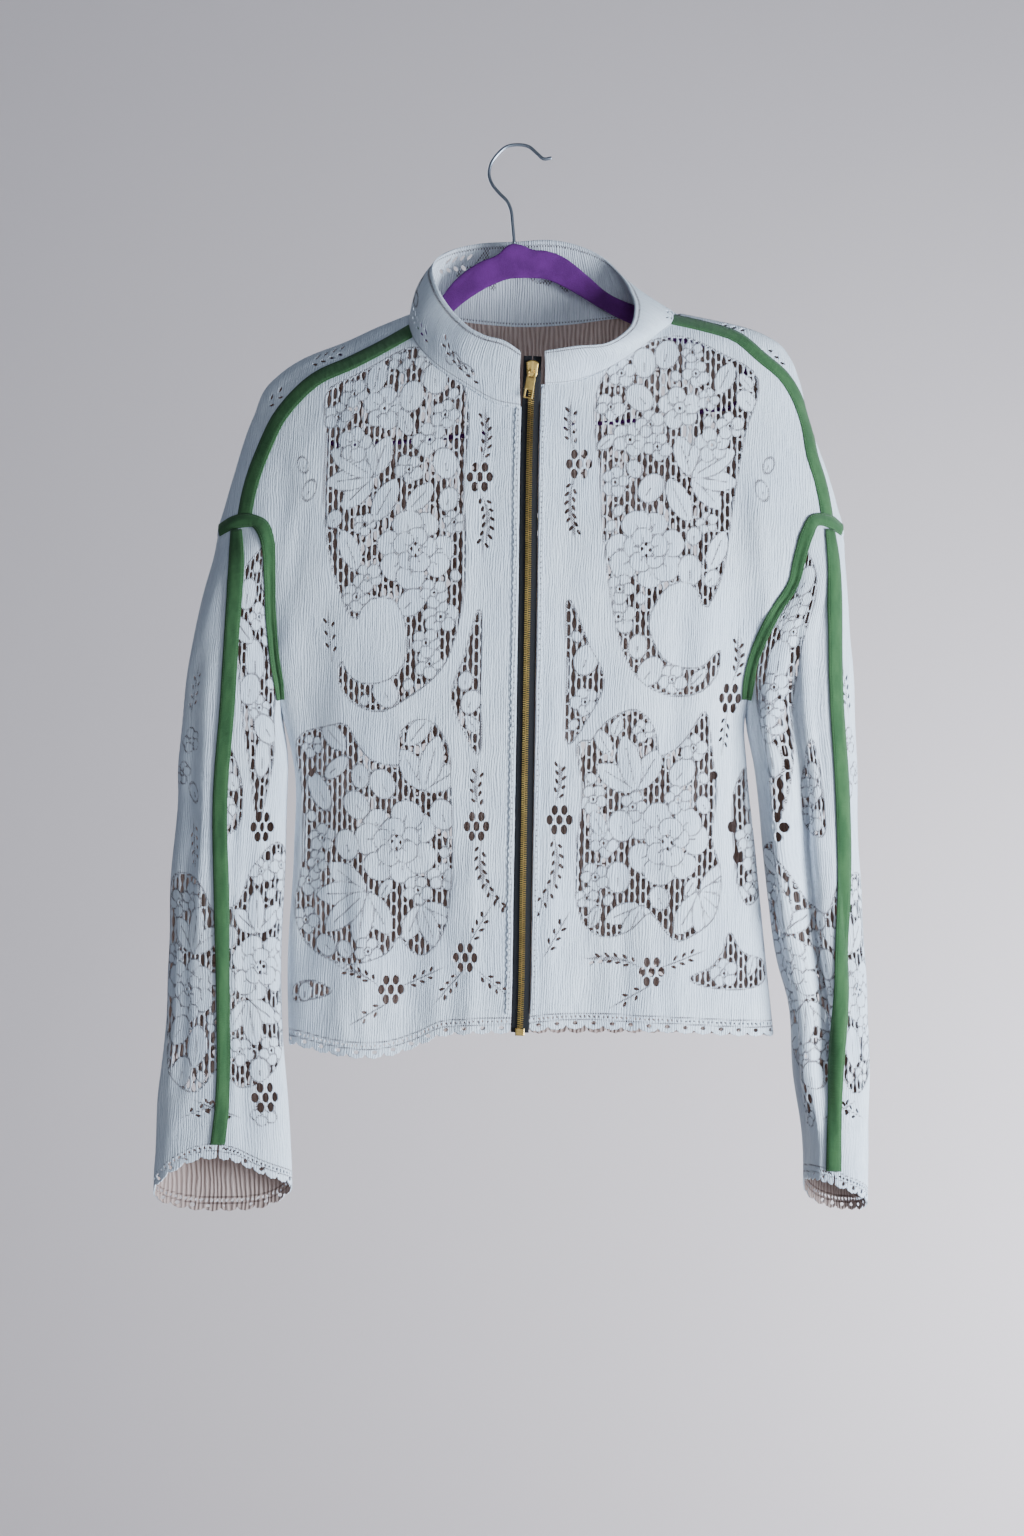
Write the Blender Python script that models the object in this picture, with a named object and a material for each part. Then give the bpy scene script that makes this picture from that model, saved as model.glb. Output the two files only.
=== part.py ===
"""Cropped zip-up track jacket in cut lace cloth, hung on a slim flocked hanger.

The origin is the underside of the hanger hook, where a nail or rail carries it.  +X is
to the right of a person who faces the jacket's front, +Y goes to the wall behind, +Z up.
All sizes in the tables are millimetres.

The cloth is worked out from two kinds of section:
  body    level sections, half a squashed ellipse each side of the zip line, for each height
  sleeve  level rings round each arm, with the armhole cut from the top of the tube
A panel is a flat outline on such a form, with its lace gaps, cut into triangles, laid on
the form and given its wall inwards.  Bindings and stripes are made from the same points,
moved out.
"""
import math

import bpy
import numpy as np
from mathutils import Vector
from mathutils.geometry import delaunay_2d_cdt

MM = 0.001
CLOTH = 1.2            # wall of the lace cloth
TAPE = 1.0             # wall of bias tape and zip tape
SEAM = 0.3             # between two pieces that are sewn together
STAND = 0.35           # a stripe stands this far off the cloth under it
BIND_STAND = 1.2       # the armhole bindings lie over a thick seam
STRIPE = 14.0          # finished width of the bias tape
GRID = (42.0, 44.0)    # spacing of the triangles in the plain cloth of the body
SLEEVE_GRID = (21.0, 56.0)
HEM_EDGE = 15.0        # height of the scalloped edging at the hem
CUFF_EDGE = 14.0
SCALLOP = 18.0         # pitch of the scallops
LEFT, RIGHT = -1, 1

# Body sections: height, outer edge left and right of the origin, middle depth of the
# side edge, how far front and back stand off it, fullness of the curve.
BODY = np.array([
    # z,  left, right, mid, front, back, full
    (-850, 212, 243, -14, 31, 28, 2.6),
    (-765, 213, 234, -14, 36, 30, 2.6),
    (-662, 207, 224, -15, 40, 32, 2.6),
    (-583, 207, 216, -15, 42, 32, 2.6),
    (-536, 218, 215, -15, 43, 32, 2.6),
    (-484, 236, 240, -15, 44, 32, 2.6),
    (-428, 249, 272, -15, 46, 31, 2.6),
    (-370, 279, 307, -13, 48, 28, 2.5),
    (-340, 272, 301, -11, 49, 26, 2.4),
    (-311, 264, 293, -9, 50, 24, 2.3),
    (-257, 247, 275, -4, 51, 20, 2.0),
    (-220, 228, 267, -1, 51, 18, 1.8),
    (-198, 196, 258, 0, 46, 17, 1.7),
    (-184, 160, 246, 0, 38, 16, 1.7),
    (-171, 132, 218, 0, 29, 15, 1.7),
    (-156, 95, 150, 0, 20, 14, 1.7)], float)

# Line of the zip, seen from the front, and its depth above the neckline.
ZIP_LINE = np.array([
    # z,   x
    (-860, 2.5),
    (-797, 5.0),
    (-706, 6.5),
    (-615, 8.0),
    (-523, 9.5),
    (-432, 11.0),
    (-267, 13.5),
    (-240, 14.5),
    (-200, 16.0)], float)

# Soft folds of the body front and back: where, how wide, how deep (in is positive).
FOLDS = np.array([
    # face, x, lean, top, bottom, width, depth
    (1, -92, 0.03, -640, -870, 26, 7),
    (1, -150, 0.00, -700, -880, 22, -5),
    (1, 62, -0.03, -620, -880, 24, 4),
    (1, 196, -0.05, -240, -620, 26, 7),
    (1, -186, 0.02, -400, -760, 24, 5),
    (1, 150, 0.04, -560, -860, 26, -4),
    (-1, -110, 0.05, -420, -880, 34, -6),
    (-1, 20, 0.00, -300, -880, 40, 5),
    (-1, 140, -0.05, -420, -880, 34, -6)], float)

# Sleeve rings: height, outer edge, inner edge (both from the origin), depth of the
# middle, half depth.
SLEEVE_L = np.array([
    # z,  outer, inner, mid, half
    (-1020, 338, 208, -20, 24),
    (-952, 337, 209, -20, 25),
    (-900, 335, 212, -19, 26),
    (-840, 329, 217, -18, 27),
    (-765, 325, 219, -17, 28),
    (-672, 322, 215, -16, 29),
    (-615, 317, 214, -16, 29),
    (-578, 316, 214, -16, 29),
    (-536, 312, 219, -16, 29),
    (-484, 306, 220, -16, 29),
    (-428, 295, 224, -16, 28),
    (-377, 282, 226, -15, 27),
    (-345, 276, 228, -15, 25)], float)
SLEEVE_R = np.array([
    # z,  outer, inner, mid, half
    (-1020, 327, 268, -20, 33),
    (-925, 329, 267, -20, 33),
    (-872, 330, 259, -20, 32),
    (-802, 329, 254, -19, 31),
    (-765, 327, 244, -18, 30),
    (-709, 324, 236, -17, 30),
    (-672, 322, 232, -16, 30),
    (-583, 320, 223, -16, 30),
    (-536, 318, 214, -16, 30),
    (-484, 316, 220, -16, 29),
    (-462, 314, 226, -16, 29),
    (-428, 312, 243, -16, 29),
    (-377, 308, 260, -15, 28),
    (-345, 303, 266, -15, 26)], float)

# Folds of the sleeves: round the ring as part of its girth, then as for the body.
SLEEVE_FOLDS = np.array([
    # side, round, lean, top, bottom, width, depth
    (-1, 0.16, 0.00, -560, -960, 0.035, 4),
    (-1, 0.40, 0.00, -420, -900, 0.040, 4),
    (-1, 0.74, 0.00, -450, -980, 0.060, 4),
    (1, 0.20, 0.00, -440, -900, 0.040, 11),
    (1, 0.12, 0.00, -520, -900, 0.035, -5),
    (1, 0.70, 0.00, -450, -980, 0.060, 5)], float)

# Armhole seam, seen from the front; the back one lies behind it.
ARMHOLE_L = np.array([
    # x,    z
    (-279, -370),
    (-271, -362),
    (-256, -358),
    (-240, -358),
    (-231, -365),
    (-228, -380),
    (-227, -405),
    (-227, -440),
    (-223, -486),
    (-219, -515),
    (-218, -536)], float)
ARMHOLE_R = np.array([
    # x,   z
    (307, -370),
    (299, -361),
    (289, -357),
    (278, -356),
    (272, -362),
    (267, -374),
    (262, -392),
    (255, -420),
    (245, -434),
    (230, -462),
    (218, -499),
    (215, -536)], float)

# Shoulder seam under the green stripe, a little in front of the ridge.
SHOULDER_L = np.array([
    # x,    z
    (-97, -178),
    (-126, -196),
    (-155, -211),
    (-183, -223),
    (-207, -244),
    (-219, -259),
    (-233, -289),
    (-242, -313),
    (-248, -337),
    (-251, -358)], float)
SHOULDER_R = np.array([
    # x,   z
    (150, -167),
    (180, -174),
    (207, -183),
    (229, -202),
    (251, -220),
    (265, -243),
    (272, -265),
    (276, -295),
    (283, -319),
    (287, -340),
    (289, -357)], float)

# Collar, round from the zip's left side: seam with the neck, height and forward lean of
# the top edge, and how far the middle rolls out.  Depth of the seam comes from the body.
COLLAR = np.array([
    # face, seam x, seam z, top x, top z, top y, roll
    (1, 5, -253, 5, -206, -66, 3),
    (1, -14, -250, -10, -196, -66, 5),
    (1, -48, -230, -28, -190, -62, 9),
    (1, -77, -210, -55, -168, -48, 11),
    (1, -93, -188, -72, -140, -32, 11),
    (1, -98, -168, -77, -118, -16, 9),
    (1, -96, -158, -74, -106, -3, 7),
    (-1, -70, -160, -60, -95, 9, 4),
    (-1, -38, -164, -37, -88, 16, 3),
    (-1, 8, -167, 0, -85, 19, 2),
    (-1, 50, -165, 38, -84, 18, 3),
    (-1, 92, -160, 68, -93, 13, 5),
    (-1, 120, -158, 84, -103, 9, 6),
    (1, 149, -158, 98, -120, -3, 9),
    (1, 148, -166, 106, -138, -20, 10),
    (1, 132, -180, 110, -160, -40, 12),
    (1, 108, -200, 102, -184, -60, 12),
    (1, 76, -221, 82, -200, -74, 9),
    (1, 50, -230, 54, -203, -76, 6),
    (1, 26.5, -232, 26, -206, -70, 3)], float)

# Hem seam seen from the front.
HEM_FRONT = np.array([
    # x,    z
    (-260, -828),
    (-205, -829),
    (-170, -836),
    (-110, -836),
    (-88, -828),
    (-72, -820),
    (-50, -817),
    (0, -815),
    (35, -812),
    (125, -814),
    (228, -820),
    (270, -821)], float)
HEM_BACK = -822.0

# Cuff seams: round the ring as part of its girth from the underarm, height.
CUFF_L = np.array([
    # round, z
    (0.00, -962),
    (0.10, -950),
    (0.22, -934),
    (0.32, -934),
    (0.42, -950),
    (0.52, -975),
    (0.75, -990),
    (0.92, -980),
    (1.00, -962)], float)
CUFF_R = np.array([
    # round, z
    (0.00, -955),
    (0.15, -952),
    (0.30, -962),
    (0.45, -976),
    (0.60, -988),
    (0.80, -985),
    (0.92, -968),
    (1.00, -955)], float)

# Middle of the sleeve stripes, seen from the front.
SLEEVE_STRIPE_L = np.array([
    # z,    x
    (-985, -276),
    (-953, -276),
    (-895, -270),
    (-802, -269),
    (-709, -271),
    (-615, -272),
    (-523, -266),
    (-428, -261),
    (-372, -259),
    (-345, -259)], float)
SLEEVE_STRIPE_R = np.array([
    # z,    x
    (-985, 292),
    (-956, 292),
    (-872, 294),
    (-802, 299),
    (-709, 301),
    (-671, 303),
    (-615, 302),
    (-523, 296),
    (-372, 294),
    (-345, 292)], float)

# Lace gaps over 4 mm, cut through.  A cluster is seven gaps: one with six round it.
CLUSTER_PITCH = 9.0
GAP = (5.6, 8.6)       # width and height of a gap in a cluster
CLUSTERS_FRONT = np.array([
    # x,    z
    (-33, -319),
    (-36, -639),
    (-47, -760),
    (-115, -790),
    (58, -307),
    (40, -633),
    (125, -773),
    (199, -521)], float)
CLUSTERS_BACK = np.array([
    # x,    z
    (-90, -300),
    (95, -300),
    (-140, -560),
    (140, -560),
    (-70, -780),
    (70, -780)], float)
CLUSTERS_SLEEVE = np.array([
    # round, z, of the left and the right sleeve alike
    (0.12, -640),
    (0.10, -890),
    (0.60, -600)], float)
# Larger gaps that stand alone beside the lace flowers.
GAPS_FRONT = np.array([
    # x,    z,  width, height
    (-96, -268, 5, 9),
    (-132, -300, 5, 10),
    (-86, -372, 6, 8),
    (-140, -412, 5, 10),
    (-64, -420, 5, 10),
    (-56, -520, 6, 14),
    (-54, -548, 6, 12),
    (-190, -590, 6, 8),
    (-95, -668, 6, 7),
    (-130, -660, 6, 8),
    (104, -276, 5, 9),
    (143, -292, 5, 9),
    (124, -372, 7, 7),
    (170, -340, 5, 10),
    (66, -520, 6, 14),
    (68, -496, 6, 12),
    (131, -661, 8, 8),
    (84, -590, 6, 8),
    (184, -592, 7, 8),
    (200, -640, 8, 10),
    (205, -668, 8, 10)], float)
GAPS_SLEEVE = np.array([
    # round, z, width, height
    (0.16, -720, 6, 9),
    (0.10, -820, 6, 10),
    (0.20, -850, 5, 9),
    (0.42, -830, 6, 9),
    (0.46, -900, 6, 9),
    (0.70, -860, 6, 9),
    (0.78, -700, 6, 9)], float)

HANGER = np.array([
    # x, top z, lower z: the flocked arms, from the left tip to the right tip
    (-202, -217, -227),
    (-193, -211, -225),
    (-162, -193, -214),
    (-134, -180, -203),
    (-101, -168, -191),
    (-90, -164, -187),
    (-80, -155, -180),
    (-57, -126, -154),
    (-34, -109, -137),
    (-16, -101, -128),
    (-7, -92.8, -125),
    (6, -92.8, -124),
    (16, -97, -124),
    (28, -98, -125),
    (45, -104, -132),
    (66, -120, -144),
    (84, -136, -155),
    (118, -152, -171),
    (138, -161, -179),
    (151, -168, -184),
    (182, -176, -190),
    (214, -184, -197),
    (226, -189, -198)], float)
HANGER_THICK = 4.0
BAR = np.array([
    # x, z: middle of the trouser bar, which curves down from both arms
    (-194, -227.5),
    (-196, -246),
    (-190, -266),
    (-172, -280),
    (-140, -280),
    (0, -267),
    (180, -249),
    (205, -244),
    (216, -230),
    (217, -214),
    (215, -200.5)], float)
BAR_THICK = 4.0
HOOK = np.array([
    # x,   z: middle of the wire, from its tip
    (34.0, -10.8),
    (26.5, -11.6),
    (20.6, -6.8),
    (12.6, -0.2),
    (2.2, 1.65),
    (-8.4, -0.2),
    (-17.2, -7.6),
    (-23.2, -16.8),
    (-25.0, -26.0),
    (-22.4, -34.8),
    (-15.4, -43.8),
    (-7.6, -52.0),
    (-4.6, -59.0),
    (-2.8, -73.6),
    (-1.2, -91.6)], float)
WIRE = 3.2             # thickness of the hook's wire

SLIDER_Z = -221.0      # middle of the zip slider
PULL = (27.0, 8.5, 1.2)  # length, width and thickness of the pull tab
ZIP_TAPE = 8.2         # from the middle of the zip to the outer edge of a tape
CHAIN = (5.6, 2.4)     # width and thickness of the closed teeth


# ---------------------------------------------------------------- working out
def curve(table, at, column=1, key=0):
    """Smooth curve through a table's rows, its slopes averaged from both sides."""
    order = np.argsort(table[:, key])
    keys = table[order, key]
    values = table[order, column]
    at = np.clip(at, keys[0], keys[-1])
    slopes = np.gradient(values, keys)
    i = np.clip(np.searchsorted(keys, at) - 1, 0, len(keys) - 2)
    step = keys[i + 1] - keys[i]
    t = (at - keys[i]) / step
    a = (1 + 2 * t) * (1 - t) ** 2
    b = t * (1 - t) ** 2 * step
    c = t * t * (3 - 2 * t)
    d = t * t * (t - 1) * step
    return a * values[i] + b * slopes[i] + c * values[i + 1] + d * slopes[i + 1]


def soft_step(t):
    """Zero below 0, one above 1, smooth between."""
    t = np.clip(t, 0.0, 1.0)
    return t * t * (3 - 2 * t)


def unit(v):
    """Vectors of length one."""
    return v / np.maximum(np.linalg.norm(v, axis=-1, keepdims=True), 1e-9)


class Form:
    """A cloth form as a table of points: part of the girth by height."""

    def __init__(self, z, points, girth):
        self.z = z
        self.points = points
        self.girth_rows = girth
        self.count = points.shape[1] - 1

    def girth(self, z):
        return np.interp(z, self.z, self.girth_rows)

    def at(self, part, z):
        """Points of the form at a part of the girth, 0 to 1, and a height."""
        part = np.clip(part, 0.0, 1.0) * self.count
        row = np.clip((z - self.z[0]) / (self.z[1] - self.z[0]), 0, len(self.z) - 1.001)
        i = np.minimum(part.astype(int), self.count - 1)
        j = row.astype(int)
        s = (part - i)[:, None]
        t = (row - j)[:, None]
        low = self.points[j, i] * (1 - s) + self.points[j, i + 1] * s
        high = self.points[j + 1, i] * (1 - s) + self.points[j + 1, i + 1] * s
        return low * (1 - t) + high * t

    def part_of(self, x, z):
        """Part of the girth where the form reaches x, on a form that widens with it."""
        found = np.zeros(len(x))
        for k, (px, pz) in enumerate(zip(x, z)):
            row = self.at(np.linspace(0, 1, 241), np.full(241, float(pz)))[:, 0]
            if row[-1] < row[0]:
                row = -row
                px = -px
            found[k] = np.interp(px, row, np.linspace(0, 1, 241))
        return found


def even(path, count):
    """A row of points spread evenly along each row of a table of paths."""
    steps = np.linalg.norm(np.diff(path, axis=1), axis=2)
    length = np.concatenate([np.zeros((len(path), 1)), np.cumsum(steps, axis=1)], axis=1)
    out = np.zeros((len(path), count + 1, 3))
    for k in range(len(path)):
        want = np.linspace(0, length[k, -1], count + 1)
        for axis in range(3):
            out[k, :, axis] = np.interp(want, length[k], path[k, :, axis])
    return out, length[:, -1]


def folds_of_body(face, x, z):
    """How far the soft folds move the body's cloth inwards."""
    moved = np.zeros(np.shape(x))
    for side, at, lean, top, bottom, width, depth in FOLDS:
        if side == face:
            middle = at + lean * (z - top)
            run = (top - z) / (top - bottom)
            gate = soft_step(run * 3) * soft_step((1.15 - run) * 4)
            moved = moved + depth * gate * np.exp(-((x - middle) / width) ** 2)
    return moved


def body_form(side, face):
    """Half of the body's front (face 1) or back (face -1), from the zip line outwards."""
    z = np.arange(-872.0, -149.0, 2.0)
    angle = np.linspace(0, math.pi / 2, 161)[None, :]
    edge = curve(BODY, z, 1 if side == LEFT else 2)
    middle = curve(ZIP_LINE, z)
    width = (edge - side * middle)[:, None]
    mid = curve(BODY, z, 3)[:, None]
    depth = curve(BODY, z, 4 if face == 1 else 5)[:, None]
    full = curve(BODY, z, 6)[:, None]
    across = np.sin(angle)
    x = middle[:, None] + side * width * across
    bow = (1 - np.minimum(across, 1.0) ** full) ** (1 / full)
    fade = soft_step(bow * 1.6)
    y = mid - face * (depth * bow - folds_of_body(face, x, z[:, None]) * fade)
    path = np.stack([x, y, np.broadcast_to(z[:, None], x.shape)], axis=2)
    points, girth = even(path, 120)
    return Form(z, points, girth)


def sleeve_form(side):
    """A sleeve as rings, each starting at the underarm and going round by the front."""
    table = SLEEVE_L if side == LEFT else SLEEVE_R
    z = np.arange(-1020.0, -343.0, 2.0)
    angle = np.linspace(0, 2 * math.pi, 241)[None, :]
    outer = curve(table, z, 1)[:, None]
    inner = curve(table, z, 2)[:, None]
    mid = curve(table, z, 3)[:, None]
    half = curve(table, z, 4)[:, None]
    power = 2 / 2.3
    across = np.sign(np.cos(angle)) * np.abs(np.cos(angle)) ** power
    deep = np.sign(np.sin(angle)) * np.abs(np.sin(angle)) ** power
    x = side * ((outer + inner) / 2 - (outer - inner) / 2 * across)
    y = mid - half * deep
    path = np.stack([x, y, np.broadcast_to(z[:, None], x.shape)], axis=2)
    points, girth = even(path, 160)
    part = np.linspace(0, 1, 161)[None, :]
    centre = np.stack([side * (outer + inner)[:, 0] / 2, mid[:, 0], z], axis=1)[:, None, :]
    inwards = unit(centre - points)
    for fold_side, at, lean, top, bottom, width, depth in SLEEVE_FOLDS:
        if fold_side == side:
            run = ((top - z) / (top - bottom))[:, None]
            gate = soft_step(run * 3) * soft_step((1.1 - run) * 4)
            push = depth * gate * np.exp(-((part - at) / width) ** 2)
            points = points + inwards * push[:, :, None]
    return Form(z, points, girth)


BODY_FORM = {(s, f): body_form(s, f) for s in (LEFT, RIGHT) for f in (1, -1)}
SLEEVE_FORM = {s: sleeve_form(s) for s in (LEFT, RIGHT)}
ARMHOLE = {LEFT: ARMHOLE_L, RIGHT: ARMHOLE_R}
SHOULDER = {LEFT: SHOULDER_L, RIGHT: SHOULDER_R}


def along(points, count):
    """Evenly spaced points on the broken line through the given ones."""
    points = np.asarray(points, float)
    steps = np.linalg.norm(np.diff(points, axis=0), axis=1)
    run = np.concatenate([[0.0], np.cumsum(steps)])
    want = np.linspace(0, run[-1], count)
    return np.stack([np.interp(want, run, points[:, k]) for k in range(points.shape[1])], axis=1)


def rounded(points, count):
    """Evenly spaced points on a smooth curve through the given ones."""
    points = np.asarray(points, float)
    key = np.concatenate([[0.0], np.cumsum(np.linalg.norm(np.diff(points, axis=0), axis=1))])
    fine = np.linspace(0, key[-1], 40 * len(points))
    columns = []
    for k in range(points.shape[1]):
        columns.append(curve(np.stack([key, points[:, k]], axis=1), fine))
    return along(np.stack(columns, axis=1), count)


# ---- flat coordinates of a body panel: distance from the zip line, height
def body_surface(face):
    """Function from flat panel points to points and outward directions of the body."""
    def surface(flat):
        points = np.zeros((len(flat), 3))
        facing = np.zeros((len(flat), 3))
        for side in (LEFT, RIGHT):
            pick = flat[:, 0] < 0 if side == LEFT else flat[:, 0] >= 0
            if not pick.any():
                continue
            form = BODY_FORM[(side, face)]
            z = flat[pick, 1]
            girth = form.girth(z)
            part = np.abs(flat[pick, 0]) / girth
            points[pick] = form.at(part, z)
            d = 3.0
            round_way = form.at(part + d / girth, z) - form.at(part - d / girth, z)
            up_way = form.at(part, z + d) - form.at(part, z - d)
            facing_here = np.cross(round_way, up_way) * side * face
            facing_here = unit(facing_here)
            edge = np.clip((1 - part) * girth / 5.0, 0, 1)
            facing_here[:, 1] *= edge
            facing[pick] = unit(facing_here)
        return points, facing
    return surface


FRONT = body_surface(1)
BACK = body_surface(-1)


def on_body(side, face, line):
    """Flat panel points for points x, z seen from the front."""
    form = BODY_FORM[(side, face)]
    part = form.part_of(line[:, 0], line[:, 1])
    return np.stack([side * part * form.girth(line[:, 1]), line[:, 1]], axis=1)


# ---- flat coordinates of a sleeve: part of the girth times a mean girth, height
MEAN_GIRTH = 290.0


ARM_COUNT = 32
ARM_LINE = {s: rounded(ARMHOLE[s], ARM_COUNT) for s in (LEFT, RIGHT)}


def meeting(side):
    """Which armhole sample the shoulder seam ends at."""
    return int(np.argmin(np.linalg.norm(ARM_LINE[side] - SHOULDER[side][-1], axis=1)))


def armhole_rim(side, count=ARM_COUNT):
    """The armhole seam as a closed row: front from underarm to ridge, back again down."""
    line = ARM_LINE[side]
    front = on_body(side, 1, line)
    back = on_body(side, -1, line)
    front_points, front_facing = FRONT(front)
    back_points, back_facing = BACK(back)
    form = SLEEVE_FORM[side]
    rim = []
    for k in range(count - 1, -1, -1):
        rim.append((line[k], front_points[k], 1, front_facing[k]))
    for k in range(1, count):
        rim.append((line[k], back_points[k], -1, back_facing[k]))
    places = np.array([r[0] for r in rim])
    targets = np.array([r[1] for r in rim])
    facings = np.array([r[3] for r in rim])
    part = np.zeros(len(rim))
    fine = np.linspace(0, 0.5, 401)
    for k, (place, target, face, _) in enumerate(rim):
        way = fine if face == 1 else 1 - fine
        ring = form.at(way, np.full(401, place[1]))
        part[k] = way[np.argmin(np.linalg.norm(ring - target, axis=1))]
    part[count - 1] = 0.5
    part[0] = 0.0
    part[-1] = 1.0
    flat = np.stack([part * MEAN_GIRTH, places[:, 1]], axis=1)
    ring_points = form.at(part, places[:, 1])
    return flat, targets - ring_points, facings


def finer(rows, times):
    """Rows with more rows between, in even steps."""
    key = np.arange(len(rows), dtype=float)
    at = np.linspace(0, len(rows) - 1, (len(rows) - 1) * times + 1)
    return np.stack([np.interp(at, key, rows[:, k]) for k in range(rows.shape[1])], axis=1)


RIM = {s: armhole_rim(s) for s in (LEFT, RIGHT)}


def sleeve_surface(side):
    """Function from flat sleeve points to points and outward directions."""
    form = SLEEVE_FORM[side]
    rim, shift, rim_facing = [finer(table, 6) for table in RIM[side]]

    def place(part, z):
        points = form.at(part, z)
        flat = np.stack([part * MEAN_GIRTH, z], axis=1)
        for low in range(0, len(flat), 4000):
            piece = flat[low:low + 4000]
            gap = np.linalg.norm(piece[:, None, :] - rim[None, :, :], axis=2)
            near = 1 / (gap ** 2 + 0.02) ** 2
            moved = (near[:, :, None] * shift[None]).sum(axis=1) / near.sum(axis=1)[:, None]
            fade = soft_step(1 - gap.min(axis=1) / 110.0)
            points[low:low + 4000] += moved * fade[:, None]
        return points

    def surface(flat):
        part = flat[:, 0] / MEAN_GIRTH
        z = flat[:, 1]
        d = 0.012
        low = np.clip(part - d, 0, 1)
        high = np.clip(part + d, 0, 1)
        round_way = place(high, z) - place(low, z)
        up_way = place(part, z + 3) - place(part, z - 3)
        facing = unit(np.cross(round_way, up_way) * side)
        # at the underarm seam both halves face straight along X
        edge = np.minimum(part, 1 - part) * MEAN_GIRTH
        facing[:, 1] *= np.clip(edge / 6.0, 0, 1)
        facing = unit(facing)
        # along the armhole the sleeve's wall leans as the body's wall does
        for low in range(0, len(flat), 4000):
            piece = flat[low:low + 4000]
            gap = np.linalg.norm(piece[:, None, :] - rim[None, :, :], axis=2)
            body = rim_facing[gap.argmin(axis=1)]
            here = facing[low:low + 4000]
            alike = soft_step(((body * here).sum(axis=1) - 0.1) / 0.4)
            weight = (soft_step(1 - gap.min(axis=1) / 14.0) * alike)[:, None]
            facing[low:low + 4000] = here * (1 - weight) + body * weight
        return place(part, z), unit(facing)
    return surface


SLEEVE = {s: sleeve_surface(s) for s in (LEFT, RIGHT)}


# ---------------------------------------------------------------- flat cutting
def inside(points, polygon):
    """Which points lie inside a closed outline."""
    x = points[:, 0][:, None]
    y = points[:, 1][:, None]
    x0 = polygon[:, 0][None]
    y0 = polygon[:, 1][None]
    x1 = np.roll(polygon[:, 0], -1)[None]
    y1 = np.roll(polygon[:, 1], -1)[None]
    slope = (x1 - x0) / np.where(y1 == y0, 1e-9, y1 - y0)
    crosses = ((y0 > y) != (y1 > y)) & (x < slope * (y - y0) + x0)
    return crosses.sum(axis=1) % 2 == 1


def clearance(points, polygon):
    """Distance of points from a closed outline."""
    a = polygon[None]
    b = np.roll(polygon, -1, axis=0)[None]
    p = points[:, None]
    run = b - a
    t = ((p - a) * run).sum(axis=2) / np.maximum((run ** 2).sum(axis=2), 1e-9)
    near = a + np.clip(t, 0, 1)[:, :, None] * run
    return np.linalg.norm(p - near, axis=2).min(axis=1)


def inset(polygon, by):
    """A closed outline moved in by a small amount."""
    area = np.sum(polygon[:, 0] * np.roll(polygon[:, 1], -1)
                  - np.roll(polygon[:, 0], -1) * polygon[:, 1])
    before = unit(polygon - np.roll(polygon, 1, axis=0))
    after = unit(np.roll(polygon, -1, axis=0) - polygon)
    turn = np.sign(area)
    side_a = np.stack([-before[:, 1], before[:, 0]], axis=1) * turn
    side_b = np.stack([-after[:, 1], after[:, 0]], axis=1) * turn
    mitre = unit(side_a + side_b)
    long = np.clip(1 / np.maximum((mitre * side_a).sum(axis=1), 0.3), 1, 2.5)
    return polygon + mitre * long[:, None] * by


def gap_outline(x, z, width, height):
    """An upright six-sided gap."""
    w = width / 2
    h = height / 2
    return np.array([(x + w, z - h * .5), (x + w, z + h * .5), (x, z + h),
                     (x - w, z + h * .5), (x - w, z - h * .5), (x, z - h)])


def cluster(x, z, stretch=1.0):
    """Seven gaps, one in the middle of six."""
    gaps = [gap_outline(x, z, GAP[0] * stretch, GAP[1])]
    for k in range(6):
        turn = math.radians(60 * k)
        px = x + CLUSTER_PITCH * stretch * math.cos(turn)
        pz = z + CLUSTER_PITCH * 1.15 * math.sin(turn)
        gaps.append(gap_outline(px, pz, GAP[0] * stretch, GAP[1]))
    return gaps


def cut(outline, gaps, grid=GRID, fixed=None):
    """Triangles of a flat panel: outline, gaps left open, an even grid between."""
    gaps = [g for g in gaps if inside(g, outline).all() and clearance(g, outline).min() > 4]
    low = outline.min(axis=0)
    high = outline.max(axis=0)
    rows = []
    row = 0
    y = low[1] + grid[1] / 2
    while y < high[1]:
        x = low[0] + grid[0] * (0.25 if row % 2 else 0.75)
        while x < high[0]:
            rows.append((x, y))
            x += grid[0]
        row += 1
        y += grid[1]
    free = np.array(rows)
    free = free[inside(free, outline)]
    free = free[clearance(free, outline) > grid[0] * 0.34]
    if fixed is not None:
        fixed = fixed[inside(fixed, outline)]
        fixed = fixed[clearance(fixed, outline) > 4.0]
        near = np.linalg.norm(free[:, None] - fixed[None], axis=2).min(axis=1)
        free = np.vstack([free[near > grid[0] * 0.5], fixed])
    for g in gaps:
        keep = (clearance(free, g) > 5.0) & ~inside(free, g)
        free = free[keep]
    loops = [outline] + gaps
    points = []
    edges = []
    for loop in loops:
        start = len(points)
        points.extend(loop.tolist())
        edges.extend((start + k, start + (k + 1) % len(loop)) for k in range(len(loop)))
    points.extend(free.tolist())
    verts, _, faces, _, _, _ = delaunay_2d_cdt([Vector(p) for p in points], edges, [], 0, 1e-4)
    verts = np.array([(v.x, v.y) for v in verts])
    faces = np.array(faces)
    centre = verts[faces].mean(axis=1)
    keep = inside(centre, outline)
    for g in gaps:
        keep &= ~inside(centre, g)
    faces = faces[keep]
    a = verts[faces[:, 0]]
    b = verts[faces[:, 1]]
    c = verts[faces[:, 2]]
    twist = (b[:, 0] - a[:, 0]) * (c[:, 1] - a[:, 1]) - (b[:, 1] - a[:, 1]) * (c[:, 0] - a[:, 0])
    faces = faces[np.abs(twist) > 1e-3]
    used = np.unique(faces)
    index = -np.ones(len(verts), int)
    index[used] = np.arange(len(used))
    return verts[used], index[faces]


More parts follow.
